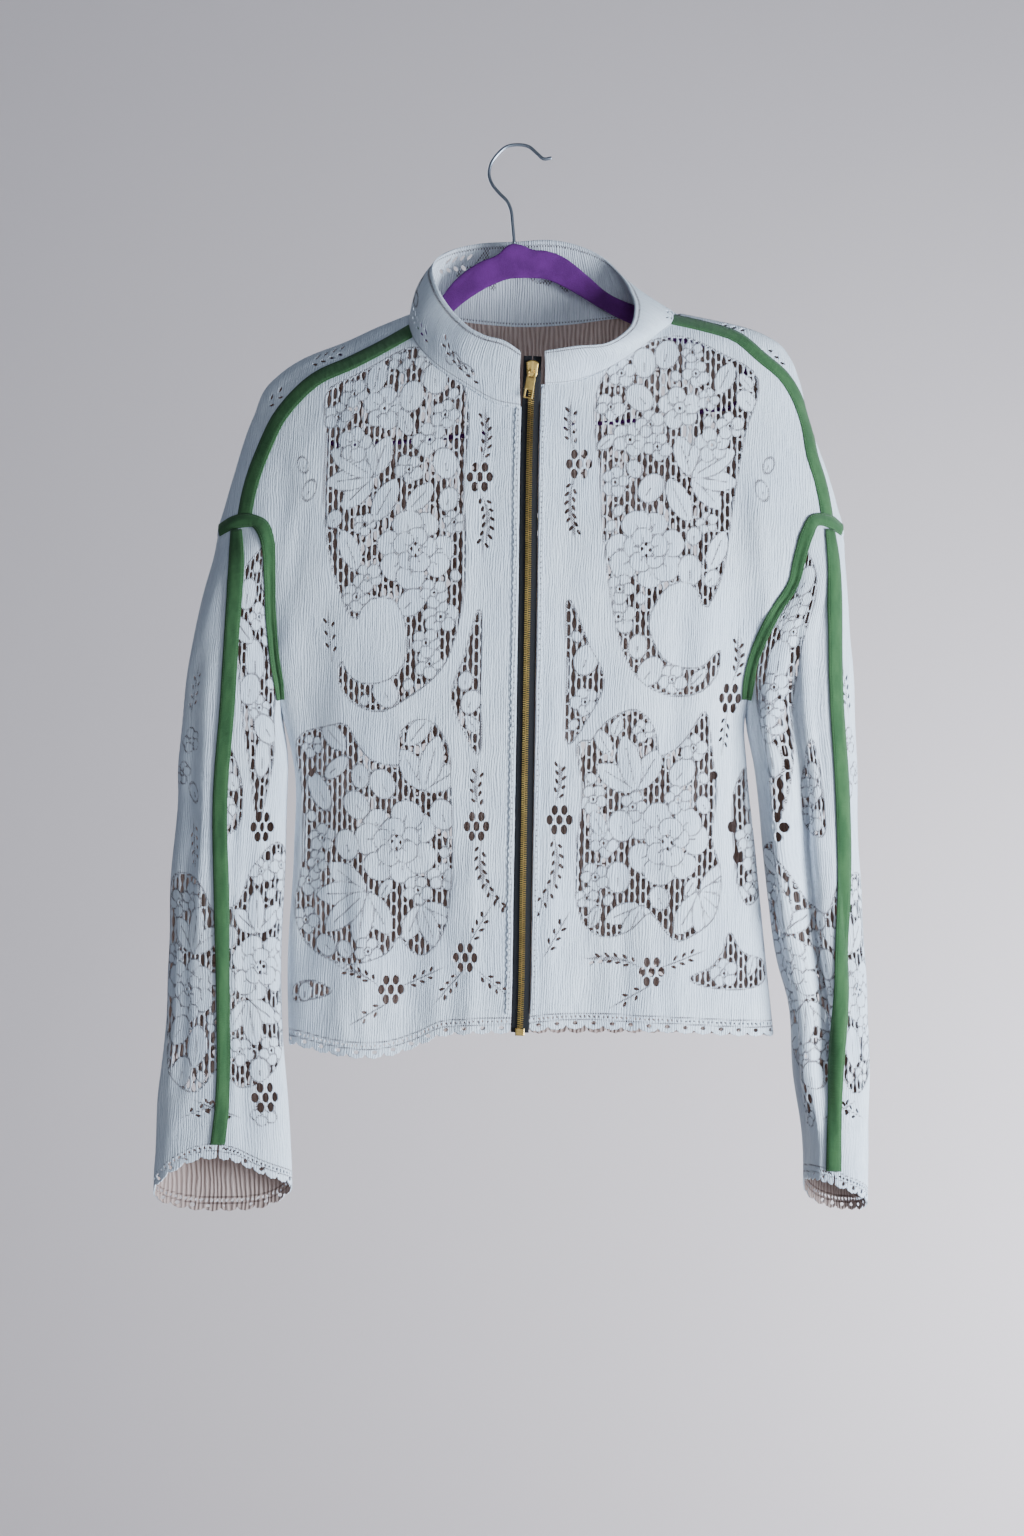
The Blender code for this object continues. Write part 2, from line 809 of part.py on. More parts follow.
# ---------------------------------------------------------------- solids
scene = bpy.context.scene
for old in list(bpy.data.objects):
    bpy.data.objects.remove(old, do_unlink=True)
PARTS = bpy.data.collections.new("track_jacket")
scene.collection.children.link(PARTS)


def material(name, colour, rough, metallic=0.0):
    """A plain Principled material."""
    made = bpy.data.materials.new(name)
    made.use_nodes = True
    shader = made.node_tree.nodes["Principled BSDF"]
    shader.inputs["Base Color"].default_value = (*colour, 1)
    shader.inputs["Roughness"].default_value = rough
    shader.inputs["Metallic"].default_value = metallic
    return made


LOOK = {
    "lace": ((0.78, 0.80, 0.84), 0.9, 0.0),
    "green": ((0.05, 0.12, 0.05), 0.85, 0.0),
    "black": ((0.012, 0.012, 0.014), 0.8, 0.0),
    "gold": ((0.62, 0.43, 0.14), 0.32, 1.0),
    "velvet": ((0.12, 0.025, 0.17), 0.95, 0.0),
    "steel": ((0.55, 0.56, 0.58), 0.25, 1.0),
}


def make(name, look, points, faces):
    """One closed solid from points in millimetres."""
    mesh = bpy.data.meshes.new(name)
    mesh.from_pydata((np.asarray(points) * MM).tolist(), [], [list(map(int, f)) for f in faces])
    mesh.validate()
    colour, rough, metallic = LOOK[look]
    mesh.materials.append(material(name, colour, rough, metallic))
    made = bpy.data.objects.new(name, mesh)
    PARTS.objects.link(made)
    return made


def walled(points, facing, faces, wall):
    """Outer and inner skin of a sheet, joined round each of its edges."""
    a = points[faces[:, 0]]
    b = points[faces[:, 1]]
    c = points[faces[:, 2]]
    flip = (np.cross(b - a, c - a) * facing[faces].mean(axis=1)).sum(axis=1) < 0
    faces = faces.copy()
    faces[flip] = faces[flip][:, ::-1]
    count = len(points)
    both = np.vstack([points, points - facing * wall])
    out = [tuple(f) for f in faces]
    out += [(f[2] + count, f[1] + count, f[0] + count) for f in faces]
    directed = {}
    for f in faces:
        for k in range(3):
            directed[(f[k], f[(k + 1) % 3])] = True
    for (p, q) in list(directed):
        if (q, p) not in directed:
            out.append((q, p, p + count))
            out.append((q, p + count, q + count))
    return both, out


def cloth_panel(name, look, pieces, wall=CLOTH, out=0.0):
    """Solid from flat pieces, each with its own surface, joined where they share points."""
    points = []
    facing = []
    faces = []
    shared = {}
    for flat, tris, surface in pieces:
        here, normal = surface(flat)
        index = []
        for p, n in zip(here, normal):
            key = tuple(np.round(p, 2))
            if key in shared:
                facing[shared[key]] = facing[shared[key]] + n
            else:
                shared[key] = len(points)
                points.append(p)
                facing.append(n)
            index.append(shared[key])
        index = np.array(index)
        faces.append(index[tris])
    points = np.array(points)
    facing = unit(np.array(facing))
    faces = np.vstack(faces)
    good = (faces[:, 0] != faces[:, 1]) & (faces[:, 1] != faces[:, 2]) & (faces[:, 0] != faces[:, 2])
    solid, skin = walled(points + facing * out, facing, faces[good], wall)
    return make(name, look, solid, skin)


def ribbon(name, look, rows, facings, wall, closed=False):
    """Solid band: rows of points across it, each moved in by the wall."""
    count, across = rows.shape[:2]
    outer = rows.reshape(-1, 3)
    inner = (rows - facings * wall).reshape(-1, 3)
    points = np.vstack([outer, inner])
    size = count * across
    faces = []
    steps = count if closed else count - 1
    a0 = outer[0]
    turn = np.dot(np.cross(rows[1, 0] - a0, rows[0, 1] - a0), facings[0, 0]) > 0
    for i in range(steps):
        n = (i + 1) % count
        for j in range(across - 1):
            quad = [i * across + j, n * across + j, n * across + j + 1, i * across + j + 1]
            faces.append(quad)
            faces.append([q + size for q in reversed(quad)])
        low = [i * across, n * across, n * across + size, i * across + size]
        high = [i * across + across - 1, n * across + across - 1]
        high += [n * across + across - 1 + size, i * across + across - 1 + size]
        faces.append(list(reversed(low)))
        faces.append(high)
    if not closed:
        for i, way in ((0, 1), (count - 1, -1)):
            for j in range(across - 1):
                quad = [i * across + j, i * across + j + 1]
                quad += [i * across + j + 1 + size, i * across + j + size]
                faces.append(quad if way == 1 else list(reversed(quad)))
    if not turn:
        faces = [list(reversed(f)) for f in faces]
    tris = []
    for f in faces:
        tris.append((f[0], f[1], f[2]))
        tris.append((f[0], f[2], f[3]))
    return make(name, look, points, tris)


# ---------------------------------------------------------------- panels
def hem_line(side, count):
    """Front hem seam in flat points, from the zip edge to the side seam."""
    x = np.linspace(side * 6.0, side * 262.0, 90)
    z = curve(HEM_FRONT, x)
    form = BODY_FORM[(side, 1)]
    edge = form.at(np.ones(90), z)[:, 0] * side
    keep = x * side < edge
    flat = on_body(side, 1, np.stack([x, z], axis=1)[keep])
    last = z[keep][-1]
    flat = np.vstack([flat, (side * form.girth(last), last)])
    first = np.array([(side * (ZIP_TAPE + SEAM), flat[0, 1])])
    keep = np.abs(flat[:, 0]) > ZIP_TAPE + SEAM + 2
    return along(np.vstack([first, flat[keep]]), count)


def scallops(length):
    """Points along an edging: three to a scallop."""
    return int(round(length / SCALLOP)) * 3 + 1


def scalloped(line, height):
    """The lace's own scalloped edge below a flat line of points, three to a scallop."""
    wave = np.tile([0.0, 1.0, 1.0], len(line) // 3 + 1)[:len(line)]
    out = line.copy()
    out[:, 1] -= height * (0.70 + 0.30 * wave)
    return out


def side_edge(side, face, low, high, count):
    """The side seam or ridge in flat points, from one height to another."""
    z = np.linspace(low, high, count)
    return np.stack([side * BODY_FORM[(side, face)].girth(z), z], axis=1)


HEM_POINTS = {s: scallops(np.abs(hem_line(s, 9)[-1, 0])) for s in (LEFT, RIGHT)}


def collar_line(side):
    """Front neck seam, x and z, from the zip to the shoulder seam and on to the ridge."""
    rows = COLLAR[:6] if side == LEFT else COLLAR[:13:-1]
    return rows[:, 1:3]


def shoulder_line(side):
    """The shoulder seam from the neck to the armhole sample where it ends."""
    rows = np.vstack([SHOULDER[side][:-1], ARM_LINE[side][meeting(side)]])
    return rounded(rows, 17)


def front_outline(side):
    """Outline of a front: hem, side, armhole, shoulder, neck and zip edge."""
    hem = scalloped(hem_line(side, HEM_POINTS[side]), HEM_EDGE)
    under = ARMHOLE[side][-1, 1]
    seam = side_edge(side, 1, hem[-1, 1], under, 16)
    stop = meeting(side)
    arm = on_body(side, 1, ARM_LINE[side][stop:][::-1])
    arm[0] = seam[-1]
    shoulder = on_body(side, 1, shoulder_line(side)[::-1])
    neck = collar_line(side)[::-1]
    start = SHOULDER[side][0]
    neck = neck[neck[:, 1] < start[1] - 4]
    neck = rounded(np.vstack([start, neck]), 12)
    neck[1:, 1] -= 1.4
    neck = on_body(side, 1, neck)
    neck = neck[np.abs(neck[:, 0]) > ZIP_TAPE + SEAM + 1]
    edge = side * (ZIP_TAPE + SEAM)
    top_z = neck[-1, 1]
    zip_edge = np.stack([np.full(22, edge), np.linspace(top_z, hem[0, 1], 22)], axis=1)
    return np.vstack([hem[:-1], seam[:-1], arm[:-1], shoulder[:-1], neck, zip_edge[:-1]])


def front_gaps(side):
    """Lace gaps of a front in flat points."""
    gaps = []
    for x, z in CLUSTERS_FRONT:
        if x * side > 0:
            u = on_body(side, 1, np.array([(x, z)]))[0]
            gaps += cluster(u[0], u[1])
    for x, z, width, height in GAPS_FRONT:
        if x * side > 0:
            u = on_body(side, 1, np.array([(x, z)]))[0]
            gaps.append(gap_outline(u[0], u[1], width, height))
    return gaps


for side, name in ((LEFT, "front_left"), (RIGHT, "front_right")):
    flat, tris = cut(inset(front_outline(side), SEAM / 2), front_gaps(side))
    cloth_panel(name, "lace", [(flat, tris, FRONT)])

RIDGE_ROWS = 15


def ridge(side, face):
    """The shoulder ridge in flat points, from the armhole up to the neck."""
    z = np.linspace(-370.0, -157.0, RIDGE_ROWS)
    return np.stack([side * BODY_FORM[(side, face)].girth(z), z], axis=1)


def yoke_outline(side):
    """The part of the back that comes over the ridge to the shoulder seam."""
    top = ridge(side, 1)
    seam = on_body(side, 1, shoulder_line(side))
    arm = on_body(side, 1, ARM_LINE[side][:meeting(side) + 1][::-1])
    return np.vstack([top, seam[:-1], arm[:-1]])


def back_outline():
    """Outline of the whole back, from the left hem corner round by the right side."""
    rows = []
    girth = {s: BODY_FORM[(s, -1)].girth(np.array([HEM_BACK]))[0] for s in (LEFT, RIGHT)}
    count = scallops(girth[LEFT] + girth[RIGHT])
    x = np.linspace(-girth[LEFT], girth[RIGHT], count)
    hem = scalloped(np.stack([x, np.full(count, HEM_BACK)], axis=1), HEM_EDGE)
    rows.append(hem[:-1])
    for side in (RIGHT, LEFT):
        under = ARMHOLE[side][-1, 1]
        seam = side_edge(side, -1, hem[-1 if side == RIGHT else 0, 1], under, 14)
        arm = on_body(side, -1, ARM_LINE[side][::-1])
        arm[0] = seam[-1]
        part = np.vstack([seam[:-1], arm[:-1], ridge(side, -1)])
        if side == RIGHT:
            rows.append(part)
            neck = COLLAR[7:13][::-1, 1:3]
            neck = rounded(np.vstack([(148, -158), neck, (-95, -158)]), 18)[1:-1]
            flat = [on_body(RIGHT if p[0] > 14 else LEFT, -1, p[None])[0] for p in neck]
            rows.append(np.array(flat))
        else:
            rows.append(part[::-1])
    return np.vstack(rows)[:-1]


def moved_in(outline, by, hold):
    """Inset that leaves held points alone."""
    made = inset(outline, by)
    made[hold] = outline[hold]
    return made


def back_gaps():
    """Lace gaps of the back in flat points."""
    gaps = []
    for x, z in CLUSTERS_BACK:
        gaps += cluster(x, z)
    return gaps


outline = back_outline()
hold = np.zeros(len(outline), bool)
for side in (LEFT, RIGHT):
    for p in ridge(side, -1):
        hold |= np.linalg.norm(outline - p, axis=1) < 1e-6
inner = []
for side in (LEFT, RIGHT):
    for depth, skip in ((11.0, 1), (36.0, 2)):
        row = ridge(side, -1)[::skip] - np.array([side * depth, 0.0])
        row[:, 1] -= depth * 0.15
        inner.append(row)
flat, tris = cut(moved_in(outline, SEAM / 2, hold), back_gaps(), fixed=np.vstack(inner))
pieces = [(flat, tris, BACK)]
for side in (LEFT, RIGHT):
    outline = yoke_outline(side)
    hold = np.zeros(len(outline), bool)
    hold[:RIDGE_ROWS] = True
    moved = moved_in(outline, SEAM / 2, hold)
    flat, tris = cut(moved, [])
    pieces.append((flat, tris, FRONT))
cloth_panel("back", "lace", pieces)


def cuff_z(side, part):
    """Height of the cuff seam at a part of the girth."""
    return curve(CUFF_L if side == LEFT else CUFF_R, np.asarray(part, float))


def stripe_part(side, z):
    """Part of the girth where the sleeve's stripe and its seam run."""
    table = SLEEVE_STRIPE_L if side == LEFT else SLEEVE_STRIPE_R
    x = curve(table, z)
    form = SLEEVE_FORM[side]
    found = np.zeros(len(z))
    for k in range(len(z)):
        ring = form.at(np.linspace(0.02, 0.5, 161), np.full(161, float(z[k])))[:, 0]
        found[k] = np.interp(side * x[k], side * ring, np.linspace(0.02, 0.5, 161))
    return found


CUFF_SCALLOPS = 7      # on the front half of a cuff; the back half has twice as many


def cuff_line(side, start, end, scallops_here):
    """The scalloped edge of a cuff in flat points."""
    part = np.linspace(start, end, 3 * scallops_here + 1)
    line = np.stack([part * MEAN_GIRTH, cuff_z(side, part)], axis=1)
    return scalloped(line, CUFF_EDGE)


def stripe_rows(side):
    """Heights at which the sleeve's stripe seam and its stripe are worked out."""
    end = stripe_part(side, np.array([-960.0]))[0]
    return np.linspace(-376.0, cuff_z(side, [end])[0], 21)


def sleeve_outline(side, front):
    """Outline of half a sleeve: stripe seam, armhole, underarm seam and cuff."""
    rim = RIM[side][0]
    rows = stripe_rows(side)
    part = stripe_part(side, rows)
    seam = np.stack([part * MEAN_GIRTH, rows], axis=1)
    top = int(np.argmin(np.abs(rim[:, 0] - seam[0, 0]) + 1e3 * (rim[:, 1] < -380)))
    split = part[-1]
    if front:
        arm = rim[:top + 1]
        cuff = cuff_line(side, split, 0.0, CUFF_SCALLOPS)
        under_z = np.linspace(cuff[-1, 1], rim[0, 1], 16)
        under = np.stack([np.zeros(16), under_z], axis=1)
        return np.vstack([arm, seam[:-1], cuff[:-1], under[:-1]])
    arm = rim[top:]
    cuff = cuff_line(side, 1.0, split, 2 * CUFF_SCALLOPS)
    under_z = np.linspace(rim[-1, 1], cuff[0, 1], 16)
    under = np.stack([np.full(16, MEAN_GIRTH), under_z], axis=1)
    return np.vstack([seam[::-1][:-1], seam[:1], arm, under[1:-1], cuff[:-1]])


def sleeve_gaps():
    """Lace gaps of a sleeve in flat points."""
    gaps = []
    for part, z in CLUSTERS_SLEEVE:
        gaps += cluster(part * MEAN_GIRTH, z)
    for part, z, width, height in GAPS_SLEEVE:
        gaps.append(gap_outline(part * MEAN_GIRTH, z, width, height))
    return gaps


for side, word in ((LEFT, "left"), (RIGHT, "right")):
    rows = stripe_rows(side)[1:-1]
    part = stripe_part(side, rows)
    half = STRIPE / 2 / SLEEVE_FORM[side].girth(rows)
    for front, face in ((True, "front"), (False, "back")):
        outline = inset(sleeve_outline(side, front), SEAM)
        under = (part - half if front else part + half) * MEAN_GIRTH
        under = np.stack([under, rows], axis=1)
        flat, tris = cut(outline, sleeve_gaps(), grid=SLEEVE_GRID, fixed=under)
        cloth_panel("sleeve_" + word + "_" + face, "lace", [(flat, tris, SLEEVE[side])])


# ---------------------------------------------------------------- collar
def seam_depth(face, x, z):
    """Depth of the body's cloth at a place on the neck seam."""
    side = LEFT if x < curve(ZIP_LINE, np.array([z]))[0] else RIGHT
    flat = on_body(side, int(face), np.array([(x, z)]))
    surface = FRONT if face == 1 else BACK
    return surface(flat)[0][0, 1]


def collar_rows(count, across):
    """Rows of points up the collar, from the zip's left side round to its right side."""
    base = np.array([(r[1], seam_depth(r[0], r[1], r[2]), r[2]) for r in COLLAR])
    top = np.array([(r[3], r[5], r[4]) for r in COLLAR])
    base = rounded(base, count)
    top = rounded(top, count)
    roll = np.interp(np.linspace(0, 1, count), np.linspace(0, 1, len(COLLAR)), COLLAR[:, 6])
    centre = base.mean(axis=0)
    away = base - centre
    away[:, 2] = -18.0
    away = unit(away)
    rise = unit(top - base)
    base = base + rise * 0.8
    v = np.linspace(0, 1, across)[None, :, None]
    rows = base[:, None] * (1 - v) + top[:, None] * v
    return rows + away[:, None] * (roll[:, None, None] * 4 * v * (1 - v))


def facing_of(rows, outward):
    """Outward directions of rows of points, by their neighbours."""
    along_way = np.gradient(rows, axis=0)
    across_way = np.gradient(rows, axis=1)
    facing = unit(np.cross(along_way, across_way))
    middle = (facing * outward).sum(axis=2).mean()
    return facing if middle > 0 else -facing


rows = collar_rows(38, 5)
centre = rows.mean(axis=(0, 1))
collar_facing = facing_of(rows, unit(rows - centre))
ribbon("collar", "lace", rows, collar_facing, CLOTH)


# ---------------------------------------------------------------- bands on the cloth
def band(name, look, flat_rows, surface, out, wall):
    """Band on one surface: flat rows of points across it, moved out."""
    count, across = flat_rows.shape[:2]
    points, facing = surface(flat_rows.reshape(-1, 2))
    points = points.reshape(count, across, 3)
    facing = facing.reshape(count, across, 3)
    ribbon(name, look, points + facing * (out + wall), facing, wall)


def across_line(line, low, high, steps):
    """Flat rows of points across a flat line, from low to high to its left."""
    run = unit(np.gradient(line, axis=0))
    side_way = np.stack([-run[:, 1], run[:, 0]], axis=1)
    t = np.linspace(low, high, steps)[None, :, None]
    return line[:, None] + side_way[:, None] * t


# stripes over the shoulder seams, and down the sleeves to the cuffs
for side, word in ((LEFT, "left"), (RIGHT, "right")):
    line = rounded(SHOULDER[side], 26)
    line = along(line[1:-2], 20)
    width = STRIPE / 2 if side == LEFT else STRIPE / 2 - 1.0
    flat_line = line
    run = unit(np.gradient(flat_line, axis=0))
    side_way = np.stack([-run[:, 1], run[:, 0]], axis=1)
    t = np.linspace(-width, width, 3)[None, :, None]
    seen = flat_line[:, None] + side_way[:, None] * t
    form = BODY_FORM[(side, 1)]
    edge = form.at(np.ones(20 * 3), seen.reshape(-1, 2)[:, 1])[:, 0].reshape(20, 3) * side
    seen[:, :, 0] = side * np.minimum(seen[:, :, 0] * side, edge - 0.8)
    rows = on_body(side, 1, seen.reshape(-1, 2)).reshape(20, 3, 2)
    band("shoulder_stripe_" + word, "green", rows, FRONT, STAND, TAPE)

    form = SLEEVE_FORM[side]
    z = stripe_rows(side)
    part = stripe_part(side, z)
    girth = form.girth(z)
    half = (STRIPE - 0.5) / 2 / girth
    rows = np.stack([part - half, part, part + half], axis=1) * MEAN_GIRTH
    rows = np.stack([rows, np.repeat(z[:, None], 3, axis=1)], axis=2)
    band("sleeve_stripe_" + word, "green", rows, SLEEVE[side], STAND + 1.2, TAPE)


# bindings over the armhole seams: from the body across the seam to the sleeve
def binding(side, face):
    """Rows of points across an armhole seam, body side, seam, sleeve side."""
    line = ARM_LINE[side][1:-1]
    count = len(line)
    body = on_body(side, face, line)
    surface = FRONT if face == 1 else BACK
    run = unit(np.gradient(body, axis=0))
    side_way = np.stack([-run[:, 1], run[:, 0]], axis=1)
    side_way *= np.sign(np.sum(side_way * np.array([-side, 0.3]), axis=1).mean())
    rim = RIM[side][0]
    middle = ARM_COUNT - 1
    flat = rim[middle - 1:0:-1] if face == 1 else rim[middle + 1:-1]
    scale = SLEEVE_FORM[side].girth(flat[:, 1]) / MEAN_GIRTH
    real = flat * np.stack([scale, np.ones(count)], axis=1)
    run = unit(np.gradient(real, axis=0))
    way = np.stack([-run[:, 1], run[:, 0]], axis=1)
    way *= np.sign(np.sum(way * np.array([0.6 * face, -1.0]), axis=1).mean())
    way[:, 0] /= scale
    half = STRIPE / 2 - 0.5
    out = BIND_STAND + TAPE
    columns = []
    for reach in (half, half / 2):
        columns.append(surface(body + side_way * reach))
    seam_point, body_facing = surface(body)
    sleeve_facing = SLEEVE[side](flat + way * 2.0)[1]
    columns.append((seam_point, unit(body_facing + sleeve_facing)))
    for reach in (half / 2, half):
        moved = flat + way * reach
        moved[:, 0] = np.clip(moved[:, 0], 1.0, MEAN_GIRTH - 1.0)
        columns.append(SLEEVE[side](moved))
    lifts = (out, out + 0.2, out + 0.9, out + 0.2, out)
    rows = np.stack([p + f * lift for (p, f), lift in zip(columns, lifts)], axis=1)
    facing = np.stack([f for _, f in columns], axis=1)
    return rows[::2], facing[::2]


for side, word in ((LEFT, "left"), (RIGHT, "right")):
    for face, name in ((1, "front"), (-1, "back")):
        rows, facing = binding(side, face)
        ribbon("armhole_binding_" + word + "_" + name, "green", rows, facing, TAPE)


# ---------------------------------------------------------------- zip
def zip_path(z):
    """Middle of the zip: on the front's line, then up between the collar's ends."""
    x = curve(ZIP_LINE, z)
    body = FRONT(np.stack([np.full(len(z), 0.01), z], axis=1))[0][:, 1]
    body = np.where(z > -252, FRONT(np.array([(0.01, -252.0)]))[0][0, 1], body)
    rise = np.clip((z + 252.0) / 44.0, 0, 1)
    return np.stack([x, body - 6.0 * rise, z], axis=1)


ZIP_TOP = -209.0
ZIP_FOOT = -829.0
z = np.linspace(ZIP_TOP, ZIP_FOOT, 22)
middle = zip_path(z)
run = unit(np.gradient(middle, axis=0))
out_way = unit(np.cross(run, np.array([1.0, 0.0, 0.0])))
out_way = out_way * np.sign(-out_way[:, 1:2])
right_way = unit(np.cross(out_way, run))
right_way = right_way * np.sign(right_way[:, 0:1])
TAPE_WALL = 0.8
for side, word in ((LEFT, "left"), (RIGHT, "right")):
    near = middle + right_way * side * 0.5 - out_way * 0.2
    far = middle + right_way * side * ZIP_TAPE - out_way * 0.2
    rows = np.stack([near, far], axis=1)
    facing = np.repeat(out_way[:, None], 2, axis=1)
    ribbon("zip_tape_" + word, "black", rows, facing, TAPE_WALL)

closed = z < SLIDER_Z - 9.0
teeth = middle[closed][:-1]
teeth_out = out_way[closed][:-1]
teeth_right = right_way[closed][:-1]
front = teeth + teeth_out * (0.1 + CHAIN[1])
rows = np.stack([front - teeth_right * CHAIN[0] / 2, front + teeth_right * CHAIN[0] / 2], axis=1)
ribbon("zip_chain", "gold", rows, np.repeat(teeth_out[:, None], 2, axis=1), CHAIN[1])


def block(name, look, origin, right, up, out, shape, thick):
    """A plate whose outline is given as right and up, standing out from its place."""
    count = len(shape)
    flat = [origin + right * a + up * b for a, b in shape]
    points = [p for p in flat] + [p + out * thick for p in flat]
    faces = [tuple(range(count)), tuple(range(2 * count - 1, count - 1, -1))]
    for k in range(count):
        n = (k + 1) % count
        faces.append((n, k, k + count, n + count))
    made = make(name, look, points, faces)
    volume = 0.0
    for f in faces:
        for k in range(1, len(f) - 1):
            volume += np.dot(points[f[0]], np.cross(points[f[k]], points[f[k + 1]]))
    if volume < 0:
        made.data.flip_normals()
    return made


foot = zip_path(np.array([ZIP_FOOT + 0.5]))[0]
block("zip_stop", "gold", foot + out_way[-1] * 0.1, right_way[-1], -run[-1], out_way[-1],
      [(-4.2, -3.2), (4.2, -3.2), (4.2, 3.6), (-4.2, 3.6)], 2.6)

seat = zip_path(np.array([SLIDER_Z]))[0]
near = int(np.argmin(np.abs(z - SLIDER_Z)))
slide_out = out_way[near]
slide_right = right_way[near]
slide_up = -run[near]
slide_face = 3.4       # front of the slider's body above the tapes
body = [(-3.2, -7.0), (3.2, -7.0), (5.4, 3.0), (5.6, 6.2), (2.4, 8.0), (-2.4, 8.0),
        (-5.6, 6.2), (-5.4, 3.0)]
block("zip_slider", "gold", seat + slide_out * 0.15, slide_right, slide_up, slide_out,
      body, slide_face)
face = slide_face + 0.15

# the bridge: a staple over the slider, with its opening seen from the side
BRIDGE_HALF = 1.0
STAPLE = [(face + 0.3, -2.7), (face + 0.3, -1.5), (face + 2.6, -1.5), (face + 2.6, 5.5),
          (face + 0.3, 5.5), (face + 0.3, 6.7), (face + 3.6, 6.7), (face + 3.6, -2.7)]
block("zip_bridge", "gold", seat - slide_right * BRIDGE_HALF, slide_out, slide_up, slide_right,
      STAPLE, 2 * BRIDGE_HALF)

# the pull: a plate that hangs plumb from the bridge, with its slot round the lower leg
PULL_LEAN = math.radians(9.0)
hinge = seat + slide_out * (face + 1.45) + slide_up * -0.55
PULL_BAR = 0.6


def turned(shape):
    """A shape turned in the plane of the pull, about the hinge."""
    shape = np.asarray(shape, float)
    x = shape[:, 0] * math.cos(PULL_LEAN) + shape[:, 1] * math.sin(PULL_LEAN)
    z = shape[:, 1] * math.cos(PULL_LEAN) - shape[:, 0] * math.sin(PULL_LEAN)
    return np.stack([x + hinge[0], z + hinge[2]], axis=1)


def pull_surface(flat):
    """The front face of the pull's plate."""
    points = np.stack([flat[:, 0], np.full(len(flat), hinge[1] - PULL[2] / 2), flat[:, 1]], axis=1)
    return points, np.tile(np.array([0.0, -1.0, 0.0]), (len(flat), 1))


half = PULL[1] / 2
foot_z = -PULL[0] + PULL_BAR
plate = turned([(-half + 1.6, PULL_BAR), (half - 1.6, PULL_BAR), (half - 0.4, -4.0),
                (half, -8.0), (half, foot_z + 0.6), (half - 0.6, foot_z),
                (-half + 0.6, foot_z), (-half, foot_z + 0.6), (-half, -8.0),
                (-half + 0.4, -4.0)])
slot = turned([(-1.6, -PULL_BAR), (1.6, -PULL_BAR), (2.2, -3.5), (2.0, -6.8), (-2.0, -6.8),
               (-2.2, -3.5)])
window = turned([(-2.6, -18.6), (2.6, -18.6), (2.6, foot_z + 1.4), (-2.6, foot_z + 1.4)])
points = [Vector(p) for p in np.vstack([plate, slot, window])]
edges = []
start = 0
for loop in (plate, slot, window):
    edges += [(start + k, start + (k + 1) % len(loop)) for k in range(len(loop))]
    start += len(loop)
verts, _, faces, _, _, _ = delaunay_2d_cdt(points, edges, [], 0, 1e-4)
verts = np.array([(v.x, v.y) for v in verts])
faces = np.array(faces)
centre = verts[faces].mean(axis=1)
keep = inside(centre, plate) & ~inside(centre, slot) & ~inside(centre, window)
cloth_panel("zip_pull", "gold", [(verts, faces[keep], pull_surface)], wall=PULL[2])


# ---------------------------------------------------------------- hanger
def loft(name, look, rings):
    """Solid through closed rings of points, with flat ends."""
    count, around = rings.shape[:2]
    points = rings.reshape(-1, 3)
    faces = []
    for i in range(count - 1):
        for j in range(around):
            n = (j + 1) % around
            a = (i * around + j, i * around + n, (i + 1) * around + n, (i + 1) * around + j)
            faces.append((a[0], a[1], a[2]))
            faces.append((a[0], a[2], a[3]))
    faces.append(tuple(range(around - 1, -1, -1)))
    faces.append(tuple((count - 1) * around + j for j in range(around)))
    made = make(name, look, points, faces)
    volume = 0.0
    for f in faces:
        for k in range(1, len(f) - 1):
            volume += np.dot(points[f[0]], np.cross(points[f[k]], points[f[k + 1]]))
    if volume < 0:
        made.data.flip_normals()
    return made


stations = np.linspace(HANGER[0, 0], HANGER[-1, 0], 22)
stations = np.sort(np.concatenate([stations, [-7.0, 6.0, -11.0, 11.0]]))
top = curve(HANGER, stations, 1)
low = curve(HANGER, stations, 2)
half = np.full(len(stations), HANGER_THICK / 2)
half[0] = half[-1] = HANGER_THICK / 3
rings = []
for x, high, under, deep in zip(stations, top, low, half):
    soft = min(2.4, (high - under) / 3)
    rings.append([(x, -deep, under + soft), (x, -deep, high - soft), (x, -deep * 0.5, high),
                  (x, deep * 0.5, high), (x, deep, high - soft), (x, deep, under + soft),
                  (x, deep * 0.5, under), (x, -deep * 0.5, under)])
loft("hanger_body", "velvet", np.array(rings))


def tube(name, look, line, across, around):
    """Round wire along a line in the plane of the hanger."""
    run = unit(np.gradient(line, axis=0))
    side_way = np.stack([-run[:, 1], run[:, 0]], axis=1)
    rings = []
    for (x, height), (sx, sz) in zip(line, side_way):
        ring = []
        for k in range(around):
            turn = 2 * math.pi * k / around
            out = across / 2 * math.cos(turn)
            ring.append((x + sx * out, across / 2 * math.sin(turn), height + sz * out))
        rings.append(ring)
    return loft(name, look, np.array(rings))


tube("hanger_bar", "velvet", rounded(BAR, 24), BAR_THICK, 6)
tube("hanger_hook", "steel", rounded(HOOK, 28), WIRE, 7)

# ---------------------------------------------------------------- edging beside the zip
for side, word in ((LEFT, "left"), (RIGHT, "right")):
    top_z = -256.0 if side == LEFT else -236.0
    z = np.linspace(top_z, -812.0, 22)
    low = np.full(22, ZIP_TAPE + SEAM + 0.6)
    high = low + 4.2
    rows = np.stack([low, high], axis=1) * side
    rows = np.stack([rows, np.repeat(z[:, None], 2, axis=1)], axis=2)
    band("placket_edge_" + word, "lace", rows, FRONT, STAND, 0.8)
